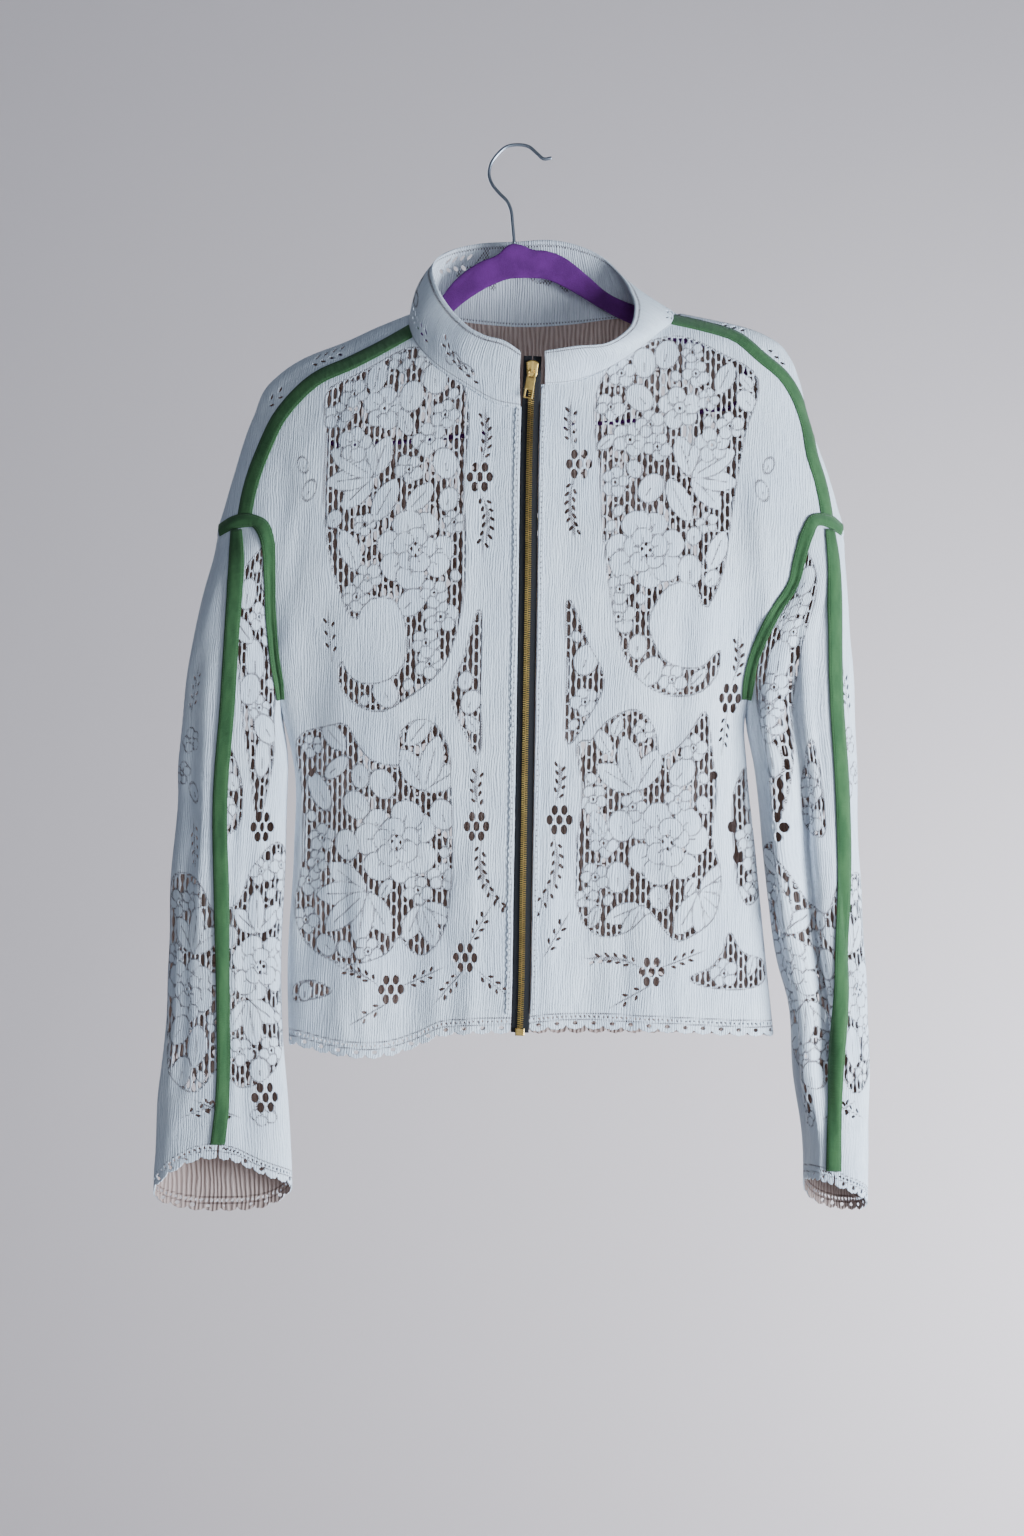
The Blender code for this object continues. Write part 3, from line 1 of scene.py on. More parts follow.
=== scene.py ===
"""Looks of a cropped lace track jacket on a slim flocked hanger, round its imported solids.

Sizes in the tables are millimetres; meshes are written in metres.  The origin is the
underside of the hook, +X is to the right of a person who faces the front, +Y goes to the
wall behind, +Z up.  Cloth panels are drawn flat as a field that is positive on cloth and
negative in every lace gap, cut along its zero line, and laid on the garment's forms.
"""
import math

import bmesh
import bpy
import numpy as np
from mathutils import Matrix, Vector


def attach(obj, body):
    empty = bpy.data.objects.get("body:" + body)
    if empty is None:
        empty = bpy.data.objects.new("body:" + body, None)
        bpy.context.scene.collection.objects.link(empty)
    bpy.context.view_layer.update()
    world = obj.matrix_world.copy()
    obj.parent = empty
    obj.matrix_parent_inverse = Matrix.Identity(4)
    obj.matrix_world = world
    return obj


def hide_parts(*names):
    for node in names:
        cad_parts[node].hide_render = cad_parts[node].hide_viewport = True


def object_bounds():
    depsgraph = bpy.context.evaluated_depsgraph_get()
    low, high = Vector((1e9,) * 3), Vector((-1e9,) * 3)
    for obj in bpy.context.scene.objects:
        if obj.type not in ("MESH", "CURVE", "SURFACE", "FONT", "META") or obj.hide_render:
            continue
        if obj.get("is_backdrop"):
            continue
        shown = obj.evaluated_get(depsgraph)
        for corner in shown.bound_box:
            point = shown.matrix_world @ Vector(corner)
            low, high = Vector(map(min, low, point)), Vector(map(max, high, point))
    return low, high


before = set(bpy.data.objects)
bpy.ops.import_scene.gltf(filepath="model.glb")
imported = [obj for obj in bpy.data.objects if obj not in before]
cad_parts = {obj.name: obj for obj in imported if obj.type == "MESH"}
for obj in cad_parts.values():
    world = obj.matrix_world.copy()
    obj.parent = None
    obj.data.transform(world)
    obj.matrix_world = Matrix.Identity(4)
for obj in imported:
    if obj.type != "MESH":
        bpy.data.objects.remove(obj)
cad_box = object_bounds()

MM = 0.001
LEFT, RIGHT = -1, 1
CLOTH = 1.2            # wall of the lace cloth
TAPE = 1.0             # wall of bias tape
SEAM = 0.3             # between two pieces that are sewn together
STAND = 0.35           # a stripe stands this far off the cloth under it
STRIPE = 14.0          # finished width of the bias tape
HEM_EDGE = 15.0        # height of the scalloped edging at the hem
CUFF_EDGE = 14.0
SCALLOP = 18.0         # pitch of the scallops
MESH = 1.75            # grid on which the lace is cut
BACK_MESH = 2.3        # the same for the back
SLEEVE_MESH = {True: 1.75, False: 2.0}   # and for the inner and the outer half of a sleeve
BLOCK = 4              # plain cloth is joined into blocks of this many grid steps
FAR = 30.0             # distance that stands for none near, in the lace fields
EDGING_LINE = 6.0      # the edging's own dotted line lies this far below its seam
SPRIG_GAP = (1.45, 3.3)    # half width and half height of a gap of a sprig

# Body sections: height, outer edge left and right of the origin, middle depth of the
# side edge, how far front and back stand off it, fullness of the curve.
BODY = np.array([
    # z,  left, right, mid, front, back, full
    (-850, 212, 243, -14, 31, 28, 2.6), (-765, 213, 234, -14, 36, 30, 2.6),
    (-662, 207, 224, -15, 40, 32, 2.6), (-583, 207, 216, -15, 42, 32, 2.6),
    (-536, 218, 215, -15, 43, 32, 2.6), (-484, 236, 240, -15, 44, 32, 2.6),
    (-428, 249, 272, -15, 46, 31, 2.6), (-370, 279, 307, -13, 48, 28, 2.5),
    (-340, 272, 301, -11, 49, 26, 2.4), (-311, 264, 293, -9, 50, 24, 2.3),
    (-257, 247, 275, -4, 51, 20, 2.0), (-220, 228, 267, -1, 51, 18, 1.8),
    (-198, 196, 258, 0, 46, 17, 1.7), (-184, 160, 246, 0, 38, 16, 1.7),
    (-171, 132, 218, 0, 29, 15, 1.7),
    (-156, 95, 150, 0, 20, 14, 1.7)], float)

# Line of the zip, seen from the front, and its depth above the neckline.
ZIP_LINE = np.array([
    # z,   x
    (-860, 2.5), (-797, 5.0), (-706, 6.5), (-615, 8.0), (-523, 9.5), (-432, 11.0), (-267, 13.5),
    (-240, 14.5),
    (-200, 16.0)], float)

# Soft folds of the body front and back: where, how wide, how deep (in is positive).
FOLDS = np.array([
    # face, x, lean, top, bottom, width, depth
    (1, -92, 0.03, -640, -870, 26, 7), (1, -150, 0.00, -700, -880, 22, -5),
    (1, 62, -0.03, -620, -880, 24, 4), (1, 196, -0.05, -240, -620, 26, 7),
    (1, -186, 0.02, -400, -760, 24, 5), (1, 150, 0.04, -560, -860, 26, -4),
    (-1, -110, 0.05, -420, -880, 34, -6), (-1, 20, 0.00, -300, -880, 40, 5),
    (-1, 140, -0.05, -420, -880, 34, -6), (1, -212, 0.10, -300, -520, 9, 2.6),
    (1, -190, 0.22, -330, -470, 8, 1.8), (1, -120, 0.05, -560, -820, 8, 1.5),
    (1, -70, -0.04, -600, -850, 9, 2.2), (1, -36, 0.02, -520, -840, 7, -1.6),
    (1, -166, -0.08, -620, -840, 8, 2.0), (1, 38, 0.02, -420, -800, 8, -1.4),
    (1, 92, -0.03, -540, -850, 8, 1.7), (1, 168, 0.09, -300, -560, 11, 2.4),
    (1, 215, -0.12, -300, -470, 9, -2.6), (1, 205, 0.02, -480, -700, 7, 2.2),
    (1, 128, -0.05, -640, -860, 9, 1.8), (-1, -170, 0.10, -260, -620, 12, 3.0),
    (-1, -60, -0.06, -380, -820, 10, 2.0), (-1, 70, 0.07, -420, -860, 11, -2.4),
    (-1, 185, -0.12, -260, -600, 12, 3.0), (-1, 110, 0.02, -560, -860, 9, 1.8),
    (-1, -130, 0.03, -620, -870, 9, 2.0)], float)

# Sleeve rings: height, outer edge, inner edge (both from the origin), depth of the
# middle, half depth.
SLEEVE_L = np.array([
    # z,  outer, inner, mid, half
    (-1020, 338, 208, -20, 24), (-952, 337, 209, -20, 25), (-900, 335, 212, -19, 26),
    (-840, 329, 217, -18, 27), (-765, 325, 219, -17, 28), (-672, 322, 215, -16, 29),
    (-615, 317, 214, -16, 29), (-578, 316, 214, -16, 29), (-536, 312, 219, -16, 29),
    (-484, 306, 220, -16, 29), (-428, 295, 224, -16, 28), (-377, 282, 226, -15, 27),
    (-345, 276, 228, -15, 25)], float)
SLEEVE_R = np.array([
    # z,  outer, inner, mid, half
    (-1020, 327, 268, -20, 33), (-925, 329, 267, -20, 33), (-872, 330, 259, -20, 32),
    (-802, 329, 254, -19, 31), (-765, 327, 244, -18, 30), (-709, 324, 236, -17, 30),
    (-672, 322, 232, -16, 30), (-583, 320, 223, -16, 30), (-536, 318, 214, -16, 30),
    (-484, 316, 220, -16, 29), (-462, 314, 226, -16, 29), (-428, 312, 243, -16, 29),
    (-377, 308, 260, -15, 28),
    (-345, 303, 266, -15, 26)], float)

# Folds of the sleeves: round the ring as part of its girth, then as for the body but
# without a lean.
SLEEVE_FOLDS = np.array([
    # side, round, top, bottom, width, depth
    (-1, 0.16, -560, -960, 0.035, 4), (-1, 0.40, -420, -900, 0.040, 4),
    (-1, 0.74, -450, -980, 0.060, 4), (1, 0.20, -440, -900, 0.040, 11),
    (1, 0.12, -520, -900, 0.035, -5), (1, 0.70, -450, -980, 0.060, 5),
    (-1, 0.10, -560, -820, 0.016, 2.2), (-1, 0.33, -480, -760, 0.018, -1.6),
    (-1, 0.45, -640, -960, 0.016, 2.0), (-1, 0.62, -430, -780, 0.022, 2.4),
    (-1, 0.85, -560, -960, 0.020, -2.2), (1, 0.055, -560, -940, 0.022, 3.2),
    (1, 0.155, -560, -960, 0.016, -2.4), (1, 0.34, -500, -880, 0.016, 1.6),
    (1, 0.60, -470, -820, 0.020, -2.2), (1, 0.84, -520, -960, 0.020, 2.4),
    (1, 0.215, -400, -860, 0.016, 7.0), (1, 0.135, -470, -740, 0.030, -6.0),
    (1, 0.075, -480, -660, 0.014, 4.0), (1, 0.30, -380, -640, 0.020, 3.0),
    (-1, 0.22, -560, -900, 0.016, 3.0),
    (-1, 0.52, -480, -820, 0.018, 2.6)], float)

# Armhole seam, seen from the front; the back one lies behind it.
ARMHOLE_L = np.array([
    # x,    z
    (-279, -370), (-271, -362), (-256, -358), (-240, -358), (-231, -365), (-228, -380),
    (-227, -405), (-227, -440), (-223, -486), (-219, -515),
    (-218, -536)], float)
ARMHOLE_R = np.array([
    # x,   z
    (307, -370), (299, -361), (289, -357), (278, -356), (272, -362), (267, -374), (262, -392),
    (255, -420), (245, -434), (230, -462), (218, -499),
    (215, -536)], float)

# Shoulder seam under the green stripe, a little in front of the ridge.
SHOULDER_L = np.array([
    # x,    z
    (-97, -178), (-126, -196), (-155, -211), (-183, -223), (-207, -244), (-219, -259),
    (-233, -289), (-242, -313), (-248, -337),
    (-251, -358)], float)
SHOULDER_R = np.array([
    # x,   z
    (150, -167), (180, -174), (207, -183), (229, -202), (251, -220), (265, -243), (272, -265),
    (276, -295), (283, -319), (287, -340),
    (289, -357)], float)

# Collar, round from the zip's left side: seam with the neck, height and forward lean of
# the top edge, and how far the middle rolls out.  Depth of the seam comes from the body.
COLLAR = np.array([
    # face, seam x, seam z, top x, top z, top y, roll
    (1, 5, -253, 5, -206, -66, 3), (1, -14, -250, -10, -196, -66, 5),
    (1, -48, -230, -28, -190, -62, 9), (1, -77, -210, -55, -168, -48, 11),
    (1, -93, -188, -72, -140, -32, 11), (1, -98, -168, -77, -118, -16, 9),
    (1, -96, -158, -74, -106, -3, 7), (-1, -70, -160, -60, -95, 9, 4),
    (-1, -38, -164, -37, -88, 16, 3), (-1, 8, -167, 0, -85, 19, 2),
    (-1, 50, -165, 38, -84, 18, 3), (-1, 92, -160, 68, -93, 13, 5),
    (-1, 120, -158, 84, -103, 9, 6), (1, 149, -158, 98, -120, -3, 9),
    (1, 148, -166, 106, -138, -20, 10), (1, 132, -180, 110, -160, -40, 12),
    (1, 108, -200, 102, -184, -60, 12), (1, 76, -221, 82, -200, -74, 9),
    (1, 50, -230, 54, -203, -76, 6),
    (1, 26.5, -232, 26, -206, -70, 3)], float)

# Hem seam seen from the front.
HEM_FRONT = np.array([
    # x,    z
    (-260, -828), (-205, -829), (-170, -836), (-110, -836), (-88, -828), (-72, -820),
    (-50, -817), (0, -815), (35, -812), (125, -814), (228, -820),
    (270, -821)], float)
HEM_BACK = -822.0

# Cuff seams: round the ring as part of its girth from the underarm, height.
CUFF_L = np.array([
    # round, z
    (0.00, -962), (0.10, -950), (0.22, -934), (0.32, -934), (0.42, -950), (0.52, -975),
    (0.75, -990), (0.92, -980),
    (1.00, -962)], float)
CUFF_R = np.array([
    # round, z
    (0.00, -955), (0.15, -952), (0.30, -962), (0.45, -976), (0.60, -988), (0.80, -985),
    (0.92, -968),
    (1.00, -955)], float)

# Middle of the sleeve stripes, seen from the front.
SLEEVE_STRIPE_L = np.array([
    # z,    x
    (-985, -276), (-953, -276), (-895, -270), (-802, -269), (-709, -271), (-615, -272),
    (-523, -266), (-428, -261), (-372, -259),
    (-345, -259)], float)
SLEEVE_STRIPE_R = np.array([
    # z,    x
    (-985, 292), (-956, 292), (-872, 294), (-802, 299), (-709, 301), (-671, 303), (-615, 302),
    (-523, 296), (-372, 294),
    (-345, 292)], float)

HANGER = np.array([
    # x, top z, lower z: the flocked arms, from the left tip to the right tip
    (-202, -217, -227), (-193, -211, -225), (-162, -193, -214), (-134, -180, -203),
    (-101, -168, -191), (-90, -164, -187), (-80, -155, -180), (-57, -126, -154),
    (-34, -109, -137), (-16, -101, -128), (-7, -92.8, -125), (6, -92.8, -124), (16, -97, -124),
    (28, -98, -125), (45, -104, -132), (66, -120, -144), (84, -136, -155), (118, -152, -171),
    (138, -161, -179), (151, -168, -184), (182, -176, -190), (214, -184, -197),
    (226, -189, -198)], float)
HANGER_THICK = 4.0
BAR = np.array([
    # x, z: middle of the trouser bar, which curves down from both arms
    (-194, -227.5), (-196, -246), (-190, -266), (-172, -280), (-140, -280), (0, -267),
    (180, -249), (205, -244), (216, -230), (217, -214),
    (215, -200.5)], float)
BAR_THICK = 4.0
HOOK = np.array([
    # x,   z: middle of the wire, from its tip
    (34.0, -10.8), (26.5, -11.6), (20.6, -6.8), (12.6, -0.2), (2.2, 1.65), (-8.4, -0.2),
    (-17.2, -7.6), (-23.2, -16.8), (-25.0, -26.0), (-22.4, -34.8), (-15.4, -43.8),
    (-7.6, -52.0), (-4.6, -59.0), (-2.8, -73.6),
    (-1.2, -91.6)], float)
WIRE = 3.2             # thickness of the hook's wire

SLIDER_Z = -221.0      # middle of the zip slider
PULL = (27.0, 8.5, 1.2)  # length, width and thickness of the pull tab
ZIP_TAPE = 8.2         # from the middle of the zip to the outer edge of a tape
CHAIN = (5.6, 2.4)     # width and thickness of the closed teeth


# Creases of the collar: part of the way round, part of the height, spread of both, depth.
COLLAR_CREASES = np.array([
    (0.10, 0.55, 0.020, 0.50, 2.0), (0.17, 0.40, 0.025, 0.40, -1.8),
    (0.26, 0.60, 0.018, 0.45, 1.6), (0.40, 0.50, 0.030, 0.40, -1.2),
    (0.60, 0.55, 0.030, 0.50, 1.4), (0.73, 0.50, 0.020, 0.40, -1.6),
    (0.82, 0.60, 0.022, 0.40, 1.8),
    (0.92, 0.45, 0.020, 0.50, -1.4)], float)
# Flowers drawn on the collar: place round it, height, size of a petal.
COLLAR_FLOWERS = np.array([
    (150, 34, 20), (230, 36, 22), (300, 34, 20),
    (60, 20, 14)], float)
# Small gaps of the collar: place round it, height, length, way, bend, pairs.
COLLAR_SPRIGS = np.array([
    (40, 14, 46, 20, 8, 6), (100, 20, 40, 10, -8, 5), (190, 44, 30, 0, 0, 4),
    (265, 44, 30, 0, 0, 4),
    (400, 14, 40, 0, 0, 4)], float)

# Windows of net in the fronts: outlines seen from the front, x and z.
WINDOWS_FRONT = {
    LEFT: [
        [(-171, -234), (-150, -224), (-126, -211), (-98, -197), (-74, -199), (-50, -232),
         (-48, -330), (-49, -431), (-57, -468), (-67, -492), (-81, -507), (-99, -520),
         (-125, -533), (-142, -529), (-155, -520), (-162, -507), (-161, -488), (-153, -503),
         (-139, -509), (-123, -508), (-110, -501), (-101, -488), (-99, -466), (-104, -442),
         (-111, -431), (-125, -428), (-138, -433), (-147, -449), (-161, -424), (-170, -392),
         (-175, -348), (-174, -284)],
        [(-34, -442), (-46, -482), (-58, -522), (-48, -549), (-36, -572), (-33, -514)],
        [(-199, -555), (-175, -548), (-157, -546), (-147, -563), (-136, -577), (-121, -583),
         (-106, -583), (-107, -562), (-102, -549), (-90, -542), (-77, -544), (-67, -557),
         (-60, -615), (-62, -707), (-67, -735), (-77, -751), (-89, -758), (-99, -751),
         (-108, -739), (-116, -753), (-134, -762), (-157, -765), (-180, -758), (-197, -744),
         (-204, -724), (-198, -675), (-197, -615)],
        [(-206, -790), (-190, -783), (-172, -792), (-190, -799), (-206, -800)]],
    RIGHT: [
        [(81, -227), (98, -206), (120, -193), (151, -185), (190, -200), (224, -222),
         (211, -278), (203, -321), (197, -362), (191, -401), (185, -420), (174, -438),
         (163, -416), (151, -414), (137, -420), (129, -432), (121, -449), (126, -472),
         (137, -488), (152, -494), (171, -494), (188, -478), (186, -498), (173, -513),
         (152, -519), (134, -516), (116, -506), (103, -488), (93, -455), (83, -394),
         (78, -321)],
        [(49, -433), (65, -470), (80, -507), (67, -537), (50, -562), (48, -497)],
        [(62, -561), (62, -604), (56, -668), (57, -708), (65, -731), (80, -740), (103, -735),
         (124, -718), (137, -734), (148, -744), (164, -738), (181, -725), (188, -702),
         (188, -677), (181, -656), (185, -604), (182, -578), (173, -535), (162, -552),
         (149, -568), (132, -575), (129, -558), (123, -543), (110, -533), (91, -539),
         (77, -550), (68, -562)],
        [(214, -586), (204, -606), (202, -633), (204, -670), (208, -698), (216, -712),
         (225, -705), (226, -661), (222, -615)],
        [(163, -778), (181, -770), (192, -755), (198, -739), (208, -755), (232, -770),
         (232, -778)]]}
# The back has a pair of tall windows and a pair of lower ones, flat x and z.
WINDOWS_BACK = [
    [(45, -215), (110, -205), (165, -222), (168, -330), (150, -410), (120, -440), (92, -425),
     (60, -400), (48, -300)],
    [(60, -530), (100, -505), (145, -528), (160, -600), (152, -668), (120, -690), (80, -682),
     (56, -620)]]
# Windows of the sleeves: part of the girth from the underarm round by the front, z.
WINDOWS_SLEEVE = [
    [(0.05, -395), (0.12, -378), (0.20, -392), (0.205, -520), (0.17, -590), (0.135, -632),
     (0.10, -590), (0.07, -500)],
    [(0.00, -668), (0.06, -655), (0.13, -672), (0.20, -712), (0.27, -720), (0.34, -690),
     (0.44, -684), (0.475, -740), (0.46, -830), (0.42, -872), (0.33, -884), (0.25, -862),
     (0.17, -880), (0.08, -868), (0.00, -830)],
    [(0.20, -610), (0.27, -560), (0.29, -600), (0.27, -648), (0.22, -642)],
    [(0.60, -490), (0.70, -470), (0.79, -510), (0.79, -600), (0.72, -650), (0.63, -610)],
    [(0.57, -770), (0.70, -742), (0.84, -770), (0.87, -850), (0.78, -898), (0.64, -890)]]

# Woven flowers and leaves; what the tables leave empty is filled with petals by rule.
ROSE, LEAF, PETAL, BLOSSOM, FAN = 0, 1, 2, 3, 4
MOTIFS_FRONT = np.array([
    # kind, x, z, long, wide, turn
    (FAN, -131, -318, 52, 5, 148),
    (LEAF, -120, -340, 44, 20, 62),
    (ROSE, -92, -386, 37, 0, 10),
    (BLOSSOM, -121, -254, 21, 0, 10),
    (BLOSSOM, -79, -284, 17, 0, 40),
    (BLOSSOM, -148, -288, 17, 0, 10),
    (BLOSSOM, -69, -447, 17, 0, 20),
    (LEAF, -152, -386, 40, 18, 112),
    (ROSE, -110, -654, 40, 0, 25),
    (FAN, -138, -700, 58, 5, 222),
    (FAN, -88, -712, 46, 3, 292),
    (FAN, -84, -606, 56, 3, 76),
    (PETAL, -182, -607, 40, 19, 118),
    (BLOSSOM, -180, -650, 14, 0, 20),
    (PETAL, -166, -585, 30, 15, 40)], float)
# The right front has the same drawing turned over: x = MIRROR[0] - MIRROR[1] * x.
MIRROR = (18.0, 1.10)
MOTIFS_BACK = np.array([
    (ROSE, 108, -306, 37, 0, 15),
    (FAN, 112, -350, 50, 3, 270),
    (LEAF, 80, -244, 44, 22, 110),
    (LEAF, 140, -244, 44, 22, 70),
    (ROSE, 106, -610, 38, 0, 35),
    (FAN, 106, -652, 50, 5, 270),
    (BLOSSOM, 106, -548, 18, 0, 0)], float)
MOTIFS_SLEEVE = np.array([
    # kind, round (flat millimetres), z, long, wide, turn
    (PETAL, 34, -408, 34, 20, 95),
    (BLOSSOM, 42, -446, 14, 0, 0),
    (PETAL, 46, -486, 40, 22, 85),
    (BLOSSOM, 40, -530, 13, 0, 20),
    (PETAL, 38, -576, 38, 16, 95),
    (ROSE, 30, -770, 32, 0, 20),
    (FAN, 34, -738, 44, 3, 84),
    (FAN, 42, -800, 46, 3, 262),
    (ROSE, 108, -790, 31, 0, 0),
    (FAN, 104, -756, 50, 3, 100),
    (LEAF, 96, -842, 40, 22, 95),
    (ROSE, 205, -560, 30, 0, 10),
    (FAN, 208, -596, 50, 3, 270),
    (LEAF, 200, -500, 44, 22, 80),
    (ROSE, 208, -824, 30, 0, 30)], float)
# Flowers woven into the plain cloth: only their dotted outlines show.
DRAWN_FRONT = np.array([
    (PETAL, -190, -330, 20, 12, 70),
    (PETAL, -196, -306, 16, 10, 110)], float)
DRAWN_SLEEVE = np.array([
    (BLOSSOM, 118, -560, 12, 0, 0),
    (BLOSSOM, 128, -590, 11, 0, 30),
    (PETAL, 112, -608, 20, 12, 60),
    (BLOSSOM, 30, -905, 12, 0, 0)], float)

# Seven gaps, one in the middle of six.
CLUSTER_PITCH = 9.0
GAP = (6.2, 9.6)
CLUSTERS_FRONT = np.array([
    # x,    z
    (-33, -319), (-36, -639), (-47, -760), (-115, -790), (58, -307), (40, -633), (125, -773),
    (199, -521)], float)
CLUSTERS_BACK = np.array([
    (-90, -300), (95, -300), (-140, -560), (140, -560), (-70, -780),
    (70, -780)], float)
CLUSTERS_SLEEVE = np.array([
    (0.12, -640), (0.10, -890),
    (0.60, -600)], float)
# Gaps that stand alone beside the flowers: x, z, width, height.
GAPS_FRONT = np.array([
    (-190, -590, 6, 8), (184, -592, 7, 8), (200, -640, 8, 10),
    (205, -668, 8, 10)], float)
# Sprigs of small slanted gaps along a stem.
SPRIGS_FRONT = np.array([
    # x,  z, length, way, bend, pairs
    (-30, -300, 40, 82, 10, 5), (-30, -338, 46, -78, -14, 6), (-34, -620, 34, 100, -10, 4),
    (-32, -658, 76, -80, 20, 9), (-40, -742, 26, 60, 0, 3), (-54, -778, 24, -130, 0, 3),
    (-30, -776, 26, -40, 0, 3), (-132, -782, 30, 150, 10, 4), (-98, -784, 26, 25, 0, 3),
    (-124, -806, 24, -150, 0, 2), (-170, -480, 34, 95, 0, 3), (52, -288, 34, 100, -8, 4),
    (52, -326, 46, -95, 10, 6), (38, -612, 32, 80, 8, 4), (36, -652, 80, -92, -20, 9),
    (30, -752, 30, 60, 0, 3), (108, -766, 40, 165, 10, 5), (142, -766, 26, 20, 0, 3),
    (116, -790, 24, -150, 0, 2), (203, -500, 34, 80, 10, 4),
    (196, -540, 26, -100, 0, 3)], float)
SPRIGS_YOKE = np.array([
    (-190, -206, 34, 20, 0, 4), (-232, -246, 22, 38, 0, 2), (190, -172, 26, -14, 0, 3),
    (232, -193, 26, -42, 0, 3)], float)
SPRIGS_SLEEVE = np.array([
    (120, -530, 34, 100, 0, 4), (110, -640, 34, -100, 0, 4), (60, -905, 30, 20, 0, 3),
    (100, -905, 30, 160, 0, 3), (150, -640, 60, -90, 10, 6), (255, -560, 60, -90, 0, 6),
    (160, -830, 50, -90, 0, 5)], float)
SPRIGS_BACK = np.array([
    (0, -260, 120, -90, 10, 12), (0, -560, 120, -90, -10, 12), (-100, -780, 40, 175, 0, 4),
    (100, -780, 40, 5, 0, 4), (-185, -400, 60, -88, 0, 6),
    (185, -400, 60, -92, 0, 6)], float)


# ---------------------------------------------------------------- working out
def curve(table, at, column=1, key=0):
    """Smooth curve through a table's rows, its slopes averaged from both sides."""
    order = np.argsort(table[:, key])
    keys = table[order, key]
    values = table[order, column]
    at = np.clip(at, keys[0], keys[-1])
    slopes = np.gradient(values, keys)
    i = np.clip(np.searchsorted(keys, at) - 1, 0, len(keys) - 2)
    step = keys[i + 1] - keys[i]
    t = (at - keys[i]) / step
    a = (1 + 2 * t) * (1 - t) ** 2
    b = t * (1 - t) ** 2 * step
    c = t * t * (3 - 2 * t)
    d = t * t * (t - 1) * step
    return a * values[i] + b * slopes[i] + c * values[i + 1] + d * slopes[i + 1]


def soft_step(t):
    """Zero below 0, one above 1, smooth between."""
    t = np.clip(t, 0.0, 1.0)
    return t * t * (3 - 2 * t)


def unit(v):
    """Vectors of length one."""
    return v / np.maximum(np.linalg.norm(v, axis=-1, keepdims=True), 1e-9)


def blend_grid(grid, row, column):
    """Points of a grid of points, at places between its rows and its columns."""
    i = np.minimum(column.astype(int), grid.shape[1] - 2)
    j = np.minimum(row.astype(int), grid.shape[0] - 2)
    s = (column - i)[:, None]
    t = (row - j)[:, None]
    low = grid[j, i] * (1 - s) + grid[j, i + 1] * s
    high = grid[j + 1, i] * (1 - s) + grid[j + 1, i + 1] * s
    return low * (1 - t) + high * t


class Form:
    """A cloth form as a table of points: part of the girth by height."""

    def __init__(self, z, points, girth):
        self.z = z
        self.points = points
        self.girth_rows = girth
        self.count = points.shape[1] - 1

    def girth(self, z):
        return np.interp(z, self.z, self.girth_rows)

    def at(self, part, z):
        """Points of the form at a part of the girth, 0 to 1, and a height."""
        part = np.clip(part, 0.0, 1.0) * self.count
        row = np.clip((z - self.z[0]) / (self.z[1] - self.z[0]), 0, len(self.z) - 1.001)
        return blend_grid(self.points, row, part)

    def part_of(self, x, z):
        """Part of the girth where the form reaches x, on a form that widens with it."""
        found = np.zeros(len(x))
        share = np.linspace(0, 1, 241)
        for k, (px, pz) in enumerate(zip(x, z)):
            row = self.at(share, np.full(len(share), float(pz)))[:, 0]
            if row[-1] < row[0]:
                row = -row
                px = -px
            found[k] = np.interp(px, row, share)
        return found


def even(path, count):
    """A row of points spread evenly along each row of a table of paths."""
    steps = np.linalg.norm(np.diff(path, axis=1), axis=2)
    length = np.concatenate([np.zeros((len(path), 1)), np.cumsum(steps, axis=1)], axis=1)
    out = np.zeros((len(path), count + 1, 3))
    for k in range(len(path)):
        want = np.linspace(0, length[k, -1], count + 1)
        for axis in range(3):
            out[k, :, axis] = np.interp(want, length[k], path[k, :, axis])
    return out, length[:, -1]


def folds_of_body(face, x, z):
    """How far the soft folds move the body's cloth inwards."""
    moved = np.zeros(np.shape(x))
    for side, at, lean, top, bottom, width, depth in FOLDS:
        if side == face:
            middle = at + lean * (z - top)
            run = (top - z) / (top - bottom)
            gate = soft_step(run * 3) * soft_step((1.15 - run) * 4)
            moved = moved + depth * gate * np.exp(-((x - middle) / width) ** 2)
    return moved


def body_form(side, face):
    """Half of the body's front (face 1) or back (face -1), from the zip line outwards."""
    z = np.arange(-872.0, -149.0, 2.0)
    angle = np.linspace(0, math.pi / 2, 161)[None, :]
    edge = curve(BODY, z, 1 if side == LEFT else 2)
    middle = curve(ZIP_LINE, z)
    width = (edge - side * middle)[:, None]
    mid = curve(BODY, z, 3)[:, None]
    depth = curve(BODY, z, 4 if face == 1 else 5)[:, None]
    full = curve(BODY, z, 6)[:, None]
    across = np.sin(angle)
    x = middle[:, None] + side * width * across
    bow = (1 - np.minimum(across, 1.0) ** full) ** (1 / full)
    fade = soft_step(bow * 1.6)
    y = mid - face * (depth * bow - folds_of_body(face, x, z[:, None]) * fade)
    path = np.stack([x, y, np.broadcast_to(z[:, None], x.shape)], axis=2)
    points, girth = even(path, 120)
    return Form(z, points, girth)


